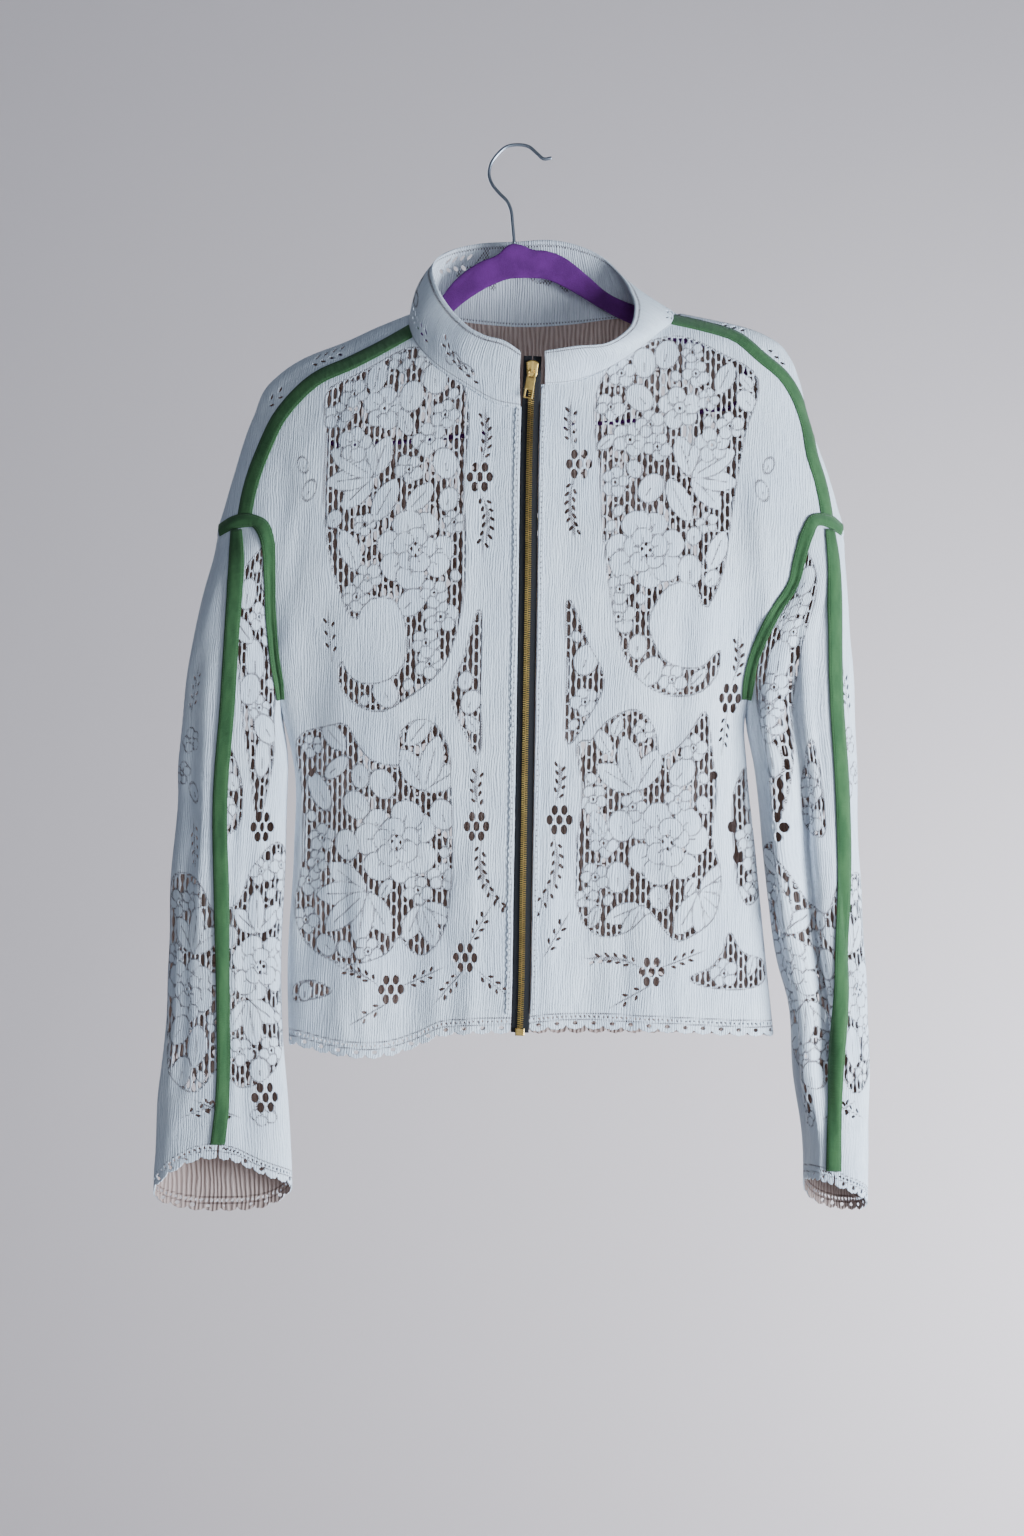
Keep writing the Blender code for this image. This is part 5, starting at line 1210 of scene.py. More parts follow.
class Finish:
    """A Principled material whose changing inputs are written as expressions."""

    def __init__(self, name, fixed):
        self.material = bpy.data.materials.new(name)
        self.material.use_nodes = True
        self.tree = self.material.node_tree
        self.shader = self.tree.nodes["Principled BSDF"]
        for socket, value in fixed.items():
            self.shader.inputs[socket].default_value = value

    def node(self, kind, settings, sockets, output=0):
        made = self.tree.nodes.new(kind)
        for name, value in settings.items():
            setattr(made, name, value)
        for name, value in sockets.items():
            if isinstance(value, Signal):
                self.tree.links.new(value.socket, made.inputs[name])
            else:
                made.inputs[name].default_value = value
        return Signal(self, made.outputs[output])

    def flat(self):
        """Millimetres across and along the cloth, from the piece's own map."""
        place = self.node("ShaderNodeUVMap", {"uv_map": "flat"}, {})
        parts = self.tree.nodes.new("ShaderNodeSeparateXYZ")
        self.tree.links.new(place.socket, parts.inputs[0])
        return Signal(self, parts.outputs[0]), Signal(self, parts.outputs[1])

    def solid_place(self):
        """Object coordinates."""
        return self.node("ShaderNodeTexCoord", {}, {}, output=3)

    def value(self, name):
        """A number kept at each point of the mesh."""
        return self.node("ShaderNodeAttribute", {"attribute_name": name}, {}, output=2)

    def at(self, x, y):
        return self.node("ShaderNodeCombineXYZ", {}, {0: x, 1: y, 2: 0.0})

    def noise(self, place, scale, detail=2.0, roughness=0.5):
        return self.node("ShaderNodeTexNoise", {},
                         {"Vector": place, "Scale": scale, "Detail": detail,
                          "Roughness": roughness})

    def mix(self, share, low, high):
        """A colour between two, by a share from 0 to 1."""
        made = self.tree.nodes.new("ShaderNodeMix")
        made.data_type = "RGBA"
        for socket, value in ((0, share), (6, low), (7, high)):
            if isinstance(value, Signal):
                self.tree.links.new(value.socket, made.inputs[socket])
            else:
                made.inputs[socket].default_value = value
        return Signal(self, made.outputs[2])

    def bump(self, height, distance, strength=1.0):
        return self.node("ShaderNodeBump", {},
                         {"Height": height, "Distance": distance, "Strength": strength})

    def feed(self, **signals):
        for name, signal in signals.items():
            socket = self.shader.inputs[name.replace("_", " ")]
            self.tree.links.new(signal.socket, socket)
        return self.material


def woven_height(finish, u, v, rib_pitch):
    """Ribs down the cloth that wander a little, slubs along them, and a fine crepe."""
    wander = finish.noise(finish.at(u * 0.05, v * 0.02), 1.0)
    rib = ((u + wander * 9.0) * (2 * math.pi / rib_pitch)).sine()
    slub = finish.noise(finish.at(u * 0.55, v * 0.045), 1.0, 4.0, 0.6)
    crepe = finish.noise(finish.at(u * 0.75, v * 0.42), 1.0, 4.0, 0.65)
    return rib, slub, crepe


def lace_white():
    """Washed white cotton: slubbed ribs, painted shade in the hollows of the weave, painted shade
    round the drawing of the lace and over its net, and dark brown dots along the drawing that are
    painted shade in its small holes.
    """
    cloth = Finish("lace_white", {"Roughness": 0.92, "Sheen Weight": 0.25,
                                  "Sheen Roughness": 0.5, "Specular IOR Level": 0.2})
    u, v = cloth.flat()
    rib, slub, crepe = woven_height(cloth, u, v, 2.3)
    patch = cloth.noise(cloth.at(u * 0.012, v * 0.010), 1.0, 3.0)
    # Painted shade: the low parts of the slubs, ribs and crepe are mixed toward a darker grey, as
    # shade in the hollows of the weave.
    weave_hollow_shade = (1.0 - slub.between(0.34, 0.60)) * 0.42 + (1.0 - rib.between(-1.0, 0.0)) * 0.10
    weave_hollow_shade = weave_hollow_shade + (1.0 - crepe.between(0.34, 0.50)) * 0.22
    white = cloth.mix(patch.between(0.3, 0.7), (0.77, 0.82, 0.90, 1), (0.85, 0.885, 0.93, 1))
    base = cloth.mix(weave_hollow_shade, white, (0.60, 0.635, 0.70, 1))
    line = cloth.value("line")
    # Dark brown dots along the lace's lines are painted shade, standing for small holes with shade
    # inside them; they also sink the bump.
    dots = (u * (2 * math.pi / 2.2)).sine() * (v * (2 * math.pi / 2.4)).sine()
    dots = (dots + (slub - 0.5) * 1.6) > -0.05
    painted_hole_shade = (1.0 - line.between(0.45, 0.92)) * dots * 0.95
    # Painted shade, brownish grey, round the lace's lines and over the net, where shade shows
    # through its holes.
    shade = (1.0 - line.between(0.3, 1.6)) * 0.42
    base = cloth.mix(shade, base, (0.40, 0.335, 0.335, 1))
    base = cloth.mix(painted_hole_shade, base, (0.075, 0.038, 0.034, 1))
    height = rib * 0.18 + slub * 1.5 + crepe * 0.9 - painted_hole_shade * 0.8
    return cloth.feed(Base_Color=base, Normal=cloth.bump(height, 0.0009, 0.9))


def lace_inside_painted_shade():
    """The wrong side of the cloth: taupe, with close ribs. The taupe is painted shade, a darker
    warm copy of the white cloth for the inside of the jacket, with a faint painted glow for light
    that comes through the cloth.
    """
    # Painted light: a faint warm emission makes the inside glow as if light came through the
    # cloth.
    cloth = Finish("lace_inside_painted_shade", {"Roughness": 0.95, "Specular IOR Level": 0.15,
                                   "Emission Color": (0.60, 0.42, 0.36, 1),
                                   "Emission Strength": 0.03})
    u, v = cloth.flat()
    rib, slub, crepe = woven_height(cloth, u, v, 4.2)
    # Painted shade: darker between the ribs, lighter on them.
    base = cloth.mix(rib.between(-0.8, 0.8), (0.30, 0.205, 0.175, 1), (0.50, 0.37, 0.325, 1))
    base = cloth.mix(slub.between(0.3, 0.7) * 0.4, base, (0.56, 0.45, 0.41, 1))
    line = cloth.value("line")
    # Painted shade: dark brown along the lace's lines, for its small holes.
    base = cloth.mix((1.0 - line.between(0.5, 1.3)) * 0.7, base, (0.08, 0.045, 0.04, 1))
    return cloth.feed(Base_Color=base, Normal=cloth.bump(rib * 0.8 + crepe, 0.0007, 0.8))


def collar_inside():
    """The collar's white facing, with painted shade in the hollows of its weave and dark dots
    along the lace's drawing that are painted shade in its small holes.
    """
    cloth = Finish("collar_inside", {"Roughness": 0.93, "Specular IOR Level": 0.15})
    u, v = cloth.flat()
    rib, slub, crepe = woven_height(cloth, u, v, 2.3)
    # Painted shade: the low parts of the slubs go darker grey, as shade in the hollows of the
    # weave.
    base = cloth.mix((1.0 - slub.between(0.34, 0.62)) * 0.6, (0.76, 0.775, 0.82, 1),
                     (0.54, 0.55, 0.60, 1))
    line = cloth.value("line")
    # Dark brown dots along the lace's lines are painted shade for its small holes.
    dots = ((u * 2.2).sine() * (v * 2.2).sine() + (slub - 0.5)) > 0.0
    base = cloth.mix((1.0 - line.between(0.5, 1.1)) * dots * 0.85, base,
                     (0.085, 0.042, 0.036, 1))
    return cloth.feed(Base_Color=base, Normal=cloth.bump(rib * 0.3 + slub * 1.4 + crepe * 0.6,
                                                         0.0008, 0.9))


def bias_tape():
    """Moss green bias tape: a fine twill on the skew and a stitched line at each edge, its groove
    darkened with painted shade.
    """
    tape = Finish("bias_tape_green", {"Roughness": 0.86, "Sheen Weight": 0.15,
                                      "Specular IOR Level": 0.25})
    u, v = tape.flat()
    twill = ((u + v) * (2 * math.pi / 0.9)).sine()
    worn = tape.noise(tape.at(u * 0.12, v * 0.03), 1.0, 4.0)
    puckers = tape.noise(tape.at(u * 0.10, v * 0.22), 1.0, 2.0)
    base = tape.mix(worn.between(0.3, 0.7), (0.034, 0.098, 0.033, 1), (0.056, 0.140, 0.048, 1))
    edge = abs(abs(u) - 5.5)
    thread = (1.0 - edge.between(0.16, 0.42)) * ((v / 2.5).fraction() < 0.72)
    # The stitch groove sinks the bump and is darkened with painted shade.
    groove_and_shade = 1.0 - edge.between(0.2, 0.9)
    base = tape.mix(groove_and_shade * 0.45, base, (0.022, 0.058, 0.022, 1))
    base = tape.mix(thread * 0.7, base, (0.10, 0.22, 0.085, 1))
    height = twill * 0.12 + puckers * 1.4 - groove_and_shade * 0.8 + thread * 0.5
    return tape.feed(Base_Color=base, Normal=tape.bump(height, 0.0007, 0.8))


def zip_tape():
    """Black herringbone tape."""
    tape = Finish("zip_tape_black", {"Roughness": 0.8, "Specular IOR Level": 0.3})
    u, v = tape.flat()
    weave = ((abs(u) + v) * (2 * math.pi / 1.1)).sine()
    base = tape.mix(weave.between(-0.5, 0.8), (0.008, 0.008, 0.010, 1), (0.030, 0.029, 0.033, 1))
    return tape.feed(Base_Color=base, Normal=tape.bump(weave, 0.0002, 0.7))


def gold_metal(name, colour, dark):
    """Warm plated brass, duller in random patches and softly scratched."""
    metal = Finish(name, {"Metallic": 1.0})
    place = metal.solid_place()
    spots = metal.noise(place, 900.0, 4.0, 0.6)
    wear = metal.noise(place, 160.0, 3.0)
    base = metal.mix(wear.between(0.35, 0.7), (*colour, 1), (*dark, 1))
    return metal.feed(Base_Color=base, Roughness=0.24 + spots * 0.22,
                      Normal=metal.bump(spots, 0.00006, 0.5))


def hook_steel():
    """Drawn steel wire."""
    metal = Finish("hook_steel", {"Metallic": 1.0})
    place = metal.solid_place()
    drawn = metal.noise(place, 700.0, 3.0)
    base = metal.mix(drawn, (0.22, 0.24, 0.28, 1), (0.42, 0.45, 0.50, 1))
    return metal.feed(Base_Color=base, Roughness=0.24 + drawn * 0.2)


def flock():
    """Purple flock: short pile with brushed patches, their lighter colour painted sheen of pile
    that lies another way.
    """
    pile = Finish("hanger_flock", {"Roughness": 0.95, "Sheen Weight": 0.35,
                                   "Sheen Roughness": 0.35, "Sheen Tint": (0.62, 0.34, 0.80, 1),
                                   "Specular IOR Level": 0.1})
    place = pile.solid_place()
    grain = pile.noise(place, 1400.0, 3.0)
    brushed_and_sheen = pile.noise(place, 55.0, 3.0)
    # Painted sheen: brushed patches of pile are mixed toward a lighter purple.
    base = pile.mix(brushed_and_sheen.between(0.3, 0.7), (0.080, 0.009, 0.100, 1), (0.130, 0.018, 0.165, 1))
    base = pile.mix(grain * 0.35, base, (0.26, 0.08, 0.36, 1))
    return pile.feed(Base_Color=base, Normal=pile.bump(grain + brushed_and_sheen, 0.0005, 0.7))


WHITE = lace_white()
INSIDE_PAINTED_SHADE = lace_inside_painted_shade()
FACING = collar_inside()
GREEN = bias_tape()
BLACK = zip_tape()
GOLD = gold_metal("zip_gold", (0.80, 0.53, 0.17), (0.52, 0.33, 0.11))
TEETH = gold_metal("zip_teeth", (0.80, 0.53, 0.17), (0.55, 0.36, 0.12))
STEEL = hook_steel()
FLOCK = flock()


# ---------------------------------------------------------------- making meshes
def write_mesh(name, points, triangles, materials, flat=None, look=None, sharp=None, kept=None):
    """One object from arrays: points in millimetres, triangles, the map in millimetres,
    the material and the hard faces of each triangle, and numbers kept at the points."""
    mesh = bpy.data.meshes.new(name)
    mesh.vertices.add(len(points))
    mesh.vertices.foreach_set("co", (points * MM).astype(np.float32).ravel())
    mesh.loops.add(triangles.size)
    mesh.loops.foreach_set("vertex_index", triangles.astype(np.int32).ravel())
    mesh.polygons.add(len(triangles))
    mesh.polygons.foreach_set("loop_start", np.arange(0, triangles.size, 3, dtype=np.int32))
    for one in materials:
        mesh.materials.append(one)
    if look is not None:
        mesh.polygons.foreach_set("material_index", look.astype(np.int32))
    if flat is not None:
        layer = mesh.uv_layers.new(name="flat")
        layer.data.foreach_set("uv", flat[triangles.ravel()].astype(np.float32).ravel())
    for key, values in (kept or {}).items():
        mesh.attributes.new(key, "FLOAT", "POINT").data.foreach_set(
            "value", values.astype(np.float32))
    mesh.update(calc_edges=True)
    hard = np.zeros(len(triangles), bool) if sharp is None else sharp
    mesh.attributes.new("sharp_face", "BOOLEAN", "FACE").data.foreach_set("value", hard)
    made = bpy.data.objects.new(name, mesh)
    bpy.context.scene.collection.objects.link(made)
    return made


def point_normals(points, triangles):
    """Directions at points: the sum of the crossed sides of their triangles."""
    a, b, c = points[triangles[:, 0]], points[triangles[:, 1]], points[triangles[:, 2]]
    cross = np.cross(b - a, c - a)
    total = np.zeros_like(points)
    for axis in range(3):
        for corner in range(3):
            total[:, axis] += np.bincount(triangles[:, corner], cross[:, axis], len(points))
    return unit(total)


def open_edges(triangles):
    """Directed edges that only one triangle has."""
    edges = np.vstack([triangles[:, [0, 1]], triangles[:, [1, 2]], triangles[:, [2, 0]]])
    many = np.int64(triangles.max()) + 1
    key = edges[:, 0].astype(np.int64) * many + edges[:, 1]
    back = edges[:, 1].astype(np.int64) * many + edges[:, 0]
    return edges[~np.isin(key, back)]


def two_skins(triangles, count):
    """Triangles of a closed shell: a skin, the same skin turned over with its points
    numbered from count on, and a strip between them round every open edge."""
    rim = open_edges(triangles)
    return np.vstack([triangles, triangles[:, ::-1] + count,
                      np.stack([rim[:, 1], rim[:, 0], rim[:, 0] + count], axis=1),
                      np.stack([rim[:, 1], rim[:, 0] + count, rim[:, 1] + count], axis=1)])


def walled(points, facing, triangles, low, high):
    """A closed shell, one skin moved out by high and one by low, and the kind of each
    triangle: 0 on the outer skin, 1 on the inner one, 2 on the strip."""
    both = np.vstack([points + facing * high, points + facing * low])
    faces = two_skins(triangles, len(points))
    return both, faces, np.minimum(np.arange(len(faces)) // len(triangles), 2)


def turned_out(piece):
    """The same closed piece with every face turned to the outside."""
    solid = bmesh.new()
    solid.from_mesh(piece.data)
    bmesh.ops.recalc_face_normals(solid, faces=solid.faces)
    solid.to_mesh(piece.data)
    solid.free()
    return piece


def flat_area(outline):
    """Area inside a flat outline, in square millimetres."""
    after = np.roll(outline, -1, axis=0)
    return abs(np.sum(outline[:, 0] * after[:, 1] - after[:, 0] * outline[:, 1])) / 2


def even_grid(outline, step):
    """Flat grid over an outline, in whole steps from zero and whole blocks."""
    first = np.floor(outline.min(axis=0) / step).astype(int) - 1
    last = np.ceil(outline.max(axis=0) / step).astype(int) + 1
    count = ((last - first + BLOCK - 1) // BLOCK) * BLOCK + 1
    return np.meshgrid((first[0] + np.arange(count[0])) * step,
                       (first[1] + np.arange(count[1])) * step)


def ripple(flat):
    """Small uneven waves of washed cloth, in millimetres inwards: two slow waves that bend
    each other, and a short one across them that comes and goes."""
    u, z = flat[:, 0], flat[:, 1]
    slow = np.sin(u / 10.5 + 1.4 * np.sin(z / 33 + u / 60)) * np.sin(z / 26 + 1.1 * np.sin(u / 19))
    short = np.sin(u / 4.3 + 0.8 * np.sin(z / 12)) * np.clip(np.sin(z / 41 + u / 37), 0, 1)
    return 0.75 * (1 + slow) + 0.22 * (1 + short)


def lay_cloth(parts, name, materials, low=-CLOTH, high=0.0):
    """Panels that are cut flat and laid on their forms, as one object.

    Each part is (outline, seam, step, lace, surface, outward): the field is the least of
    the distance to the outline and of the lace, with a plain border 2 mm wide."""
    points, faces, looks, hard, flats, lines = [], [], [], [], [], []
    start = 0
    area = 0.0
    for outline, seam, step, lace, surface, outward in parts:
        u, z = even_grid(outline, step)
        where = np.stack([u.ravel(), z.ravel()], axis=1)
        within = edge_distance(where, outline).reshape(u.shape) - seam
        cloth, line = lace(u, z)
        field = np.minimum(np.maximum(cloth, 2.2 - within), within)
        flat, triangles, at, other, share = cut_cloth(u, z, field, detail=line + 1.2)
        laid = surface(flat)
        if outward < 0:
            triangles = triangles[:, ::-1]
        facing = point_normals(laid, triangles)
        inner = within.ravel()[at] * (1 - share) + within.ravel()[other] * share
        laid = laid - facing * (ripple(flat) * np.clip((inner - 9) / 16, 0, 1))[:, None]
        facing = point_normals(laid, triangles)
        both, faced, kind = walled(laid, facing, triangles, low, high)
        kept = line.ravel()[at] * (1 - share) + line.ravel()[other] * share
        points.append(both)
        faces.append(faced + start)
        looks.append(np.where(kind == 1, 1, 0))
        hard.append(kind == 2)
        flats.append(np.vstack([flat, flat]))
        lines.append(np.tile(kept, 2))
        start += len(both)
        area += flat_area(outline)
    made = write_mesh(name, np.vstack(points), np.vstack(faces), materials,
                      flat=np.vstack(flats), look=np.concatenate(looks),
                      sharp=np.concatenate(hard), kept={"line": np.concatenate(lines)})
    return made, area * 1e-6


def grid_shell(name, top, bottom, material, flat):
    """Closed shell between two grids of points, rows along it and columns across."""
    count, across = top.shape[:2]
    index = np.arange(count * across).reshape(count, across)
    a, b, c, d = index[:-1, :-1], index[1:, :-1], index[1:, 1:], index[:-1, 1:]
    triangles = np.vstack([np.stack([a, b, c], axis=-1).reshape(-1, 3),
                           np.stack([a, c, d], axis=-1).reshape(-1, 3)])
    upper = top.reshape(-1, 3)
    lower = bottom.reshape(-1, 3)
    up_way = (upper - lower)[triangles[:, 0]]
    p, q, r = upper[triangles[:, 0]], upper[triangles[:, 1]], upper[triangles[:, 2]]
    if (np.cross(q - p, r - p) * up_way).sum() < 0:
        triangles = triangles[:, ::-1]
    faces = two_skins(triangles, len(upper))
    return write_mesh(name, np.vstack([upper, lower]), faces, [material],
                      flat=np.vstack([flat.reshape(-1, 2)] * 2),
                      sharp=np.arange(len(faces)) >= 2 * len(triangles))


def finer_rows(rows, count):
    """Rows of points with more rows between, on smooth curves through each column."""
    key = np.arange(len(rows), dtype=float)
    at = np.linspace(0, len(rows) - 1, count)
    flat = rows.reshape(len(rows), -1)
    made = [curve(np.stack([key, flat[:, k]], axis=1), at) for k in range(flat.shape[1])]
    return np.stack(made, axis=1).reshape(count, *rows.shape[1:])


def rows_facing(rows, toward):
    """Outward directions of a grid of points, by their neighbours."""
    made = unit(np.cross(np.gradient(rows, axis=0), np.gradient(rows, axis=1)))
    return made if (made * toward).sum() > 0 else -made


def tape_on(name, rows, facing, lift, thick, material, width):
    """Tape along rows of points: its top rounds down at both edges, where it is sewn."""
    across = rows.shape[1]
    q = np.linspace(-1, 1, across)[None, :]
    profile = 1 - 0.62 * np.abs(q) ** 7
    sewn = 0.16 * np.exp(-((np.abs(q) - 0.78) / 0.10) ** 2)
    run = run_length(rows[:, across // 2])[:, None]
    swell = 1 + 0.07 * np.sin(run / 5.3) * np.sin(run / 13.1 + q * 2)
    top = rows + facing * (lift + thick * (profile - sewn) * swell)[:, :, None]
    bottom = rows + facing * lift
    flat = np.stack(np.broadcast_arrays(q * width / 2, run), axis=2)
    return grid_shell(name, top, bottom, material, flat), float(run[-1, 0])


def ride(piece, slot, *nodes, body="jacket"):
    """Hang a piece on its body and hide the nodes it stands for; the slot is not used."""
    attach(piece, body)
    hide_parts(*nodes)


# ---------------------------------------------------------------- cloth panels
def seam_lines(z, height, line):
    """The dotted lines of a seam and of the edging below it join the drawing's lines."""
    below = np.abs(z - (height - EDGING_LINE))
    return np.minimum(np.minimum(line, np.abs(z - height)), below)


def lobe_gaps(edge, height):
    """One round gap in the middle of each scallop of an edging, and a band of small ones
    above them: rows of gaps."""
    middle = edge[6::12]
    band = [(x, z - 3.0, 1.0, 1.9, 18.0) for x, z in edge[::3]]
    return band + [(x, z - height * 0.60, 2.6, 1.9, 0.0) for x, z in middle]


def front_lace(side):
    """Lace of a front: windows, flowers, sprigs and the edging's gaps."""
    windows = [on_body(side, 1, np.array(w, float)) for w in WINDOWS_FRONT[side]]
    motifs = MOTIFS_FRONT.copy()
    drawn = DRAWN_FRONT.copy()
    if side == RIGHT:
        for table in (motifs, drawn):
            table[:, 1] = MIRROR[0] - MIRROR[1] * table[:, 1]
            table[:, 5] = 180 - table[:, 5]
    for table in (motifs, drawn):
        table[:, 1] = on_body(side, 1, table[:, 1:3])[:, 0]

    def mine(table):
        picked = table[table[:, 0] * side > 0].copy()
        picked[:, 0] = on_body(side, 1, picked[:, :2])[:, 0]
        return picked
    gaps = gap_rows(mine(CLUSTERS_FRONT), mine(GAPS_FRONT), mine(SPRIGS_FRONT))
    stems = stem_rows(mine(SPRIGS_FRONT))
    hem = HEM_SEAM[side]
    gaps = np.vstack([gaps, lobe_gaps(hem, HEM_EDGE)])

    def lace(u, z):
        cloth, line = lace_field(u, z, windows, motifs, drawn, gaps, stems, 5 + side)
        order = np.argsort(hem[:, 0])
        height = np.interp(u, hem[order, 0], hem[order, 1])
        return cloth, seam_lines(z, height, line)
    return lace


def back_lace(u, z):
    """Lace of the back: two windows a side and sprigs down the middle."""
    windows = [np.array(w, float) * (s, 1) for w in WINDOWS_BACK for s in (LEFT, RIGHT)]
    turned = MOTIFS_BACK.copy()
    turned[:, 1] *= -1
    turned[:, 5] = 180 - turned[:, 5]
    gaps = gap_rows(CLUSTERS_BACK, [], SPRIGS_BACK)
    gaps = np.vstack([gaps, lobe_gaps(back_seam(), HEM_EDGE)])
    cloth, line = lace_field(u, z, windows, np.vstack([MOTIFS_BACK, turned]), [], gaps,
                             stem_rows(SPRIGS_BACK), 11)
    return cloth, seam_lines(z, HEM_BACK, line)


def yoke_lace(side):
    """A few small gaps above the shoulder tapes."""
    sprigs = SPRIGS_YOKE[SPRIGS_YOKE[:, 0] * side > 0].copy()
    sprigs[:, 0] = on_body(side, 1, sprigs[:, :2])[:, 0]
    gaps = gap_rows([], [], sprigs)
    return lambda u, z: (gap_field(u, z, gaps), np.full(u.shape, FAR))


def sleeve_lace(side):
    """Lace of a whole sleeve; each half of it cuts its own part."""
    windows = [np.array(w, float) * (MEAN_GIRTH, 1) for w in WINDOWS_SLEEVE]
    clusters = CLUSTERS_SLEEVE * (MEAN_GIRTH, 1)
    gaps = gap_rows(clusters, [], SPRIGS_SLEEVE)
    cuff = cuff_line(side, 0.0, 1.0, 3 * CUFF_SCALLOPS)
    gaps = np.vstack([gaps, lobe_gaps(cuff, CUFF_EDGE)])

    def lace(u, z):
        cloth, line = lace_field(u, z, windows, MOTIFS_SLEEVE, DRAWN_SLEEVE, gaps,
                                 stem_rows(SPRIGS_SLEEVE), 20 + side)
        height = cuff_z(side, np.clip(u / MEAN_GIRTH, 0, 1))
        return cloth, seam_lines(z, height, line)
    return lace


CLOTH_FINISH = [WHITE, INSIDE_PAINTED_SHADE]
for side, word in ((LEFT, "left"), (RIGHT, "right")):
    outline = front_outline(side)
    piece, area = lay_cloth([(outline, SEAM / 2, MESH, front_lace(side), FRONT, 1)],
                            "lace_front_" + word, CLOTH_FINISH)
    ride(piece, "lace_cloth", "front_" + word)

outline = back_outline()
parts = [(outline, SEAM / 2, BACK_MESH, back_lace, BACK, -1)]
parts += [(yoke_outline(s), SEAM / 2, MESH, yoke_lace(s), FRONT, 1) for s in (LEFT, RIGHT)]
piece, area = lay_cloth(parts, "lace_back", CLOTH_FINISH)
ride(piece, "lace_cloth", "back")

for side, word in ((LEFT, "left"), (RIGHT, "right")):
    for front, face in ((True, "front"), (False, "back")):
        outline = sleeve_outline(side, front)
        piece, area = lay_cloth([(outline, SEAM, SLEEVE_MESH[front], sleeve_lace(side),
                                  SLEEVE[side], side)],
                                "lace_sleeve_" + word + "_" + face, CLOTH_FINISH)
        ride(piece, "lace_cloth", "sleeve_" + word + "_" + face)


# ---------------------------------------------------------------- collar
def seam_depth(face, x, z):
    """Depth of the body's cloth at a place on the neck seam."""
    side = LEFT if x < curve(ZIP_LINE, np.array([z]))[0] else RIGHT
    flat = on_body(side, int(face), np.array([(x, z)]))
    surface = FRONT if face == 1 else BACK
    return surface(flat)[0, 1]


COLLAR_HIGH = 56.0     # flat height of the collar


def collar_rows(count, across):
    """Rows of points up the collar, from the zip's left side round to its right side: a
    straight rise from the neck seam to the top edge with a rolled bow, and a few creases."""
    base = np.array([(r[1], seam_depth(r[0], r[1], r[2]), r[2]) for r in COLLAR])
    top = np.array([(r[3], r[5], r[4]) for r in COLLAR])
    base = rounded(base, count)
    top = rounded(top, count)
    share = np.linspace(0, 1, count)
    roll = curve(np.stack([np.linspace(0, 1, len(COLLAR)), COLLAR[:, 6]], axis=1), share)
    away = base - base.mean(axis=0)
    away[:, 2] = -18.0
    away = unit(away)
    base = base - unit(top - base) * 2.2 + away * 1.5
    v = np.linspace(0, 1, across)[None, :, None]
    rows = base[:, None] * (1 - v) + top[:, None] * v
    rows = rows + away[:, None] * (roll[:, None, None] * 5.2 * v ** 1.6 * (1 - v) ** 1.1)
    crease = np.zeros((count, across))
    for at, height, wide, tall, depth in COLLAR_CREASES:
        crease += depth * np.exp(-((share[:, None] - at) / wide) ** 2
                                 - ((v[0, :, 0][None] - height) / tall) ** 2)
    return rows + away[:, None] * crease[:, :, None]


COLLAR_ROWS = collar_rows(240, 29)
middle_steps = np.linalg.norm(np.diff(COLLAR_ROWS[:, 14], axis=0), axis=1)
COLLAR_LONG = float(middle_steps.sum())


def collar_surface(flat):
    """Points of the collar from flat points: length round it, height up it."""
    count, across = COLLAR_ROWS.shape[:2]
    s = np.clip(flat[:, 0] / COLLAR_LONG, 0, 1) * (count - 1)
    t = np.clip(flat[:, 1] / COLLAR_HIGH, 0, 1) * (across - 1)
    return blend_grid(COLLAR_ROWS.swapaxes(0, 1), t, s)


def collar_lace(u, z):
    """A dotted line below the top edge, and drawn flowers at the back and the left."""
    line = np.minimum(np.abs(z - (COLLAR_HIGH - 3.5)), np.abs(z - 4.0))
    for x, height, size in COLLAR_FLOWERS:
        for k in range(3):
            form = petal(*local(u, z, x + 9 * (k - 1), height + 4 * (k % 2), 60 * k), size, 9.0)
            line = np.minimum(line, np.abs(form))
    gaps = gap_rows([], [], COLLAR_SPRIGS)
    return gap_field(u, z, gaps), line


outline = np.array([(0.3, 0.0), (COLLAR_LONG - 0.3, 0.0), (COLLAR_LONG - 0.3, COLLAR_HIGH),
                    (0.3, COLLAR_HIGH)])
piece, area = lay_cloth([(outline, 0.0, MESH, collar_lace, collar_surface, -1)],
                        "lace_collar", [WHITE, FACING])
ride(piece, "lace_cloth", "collar")


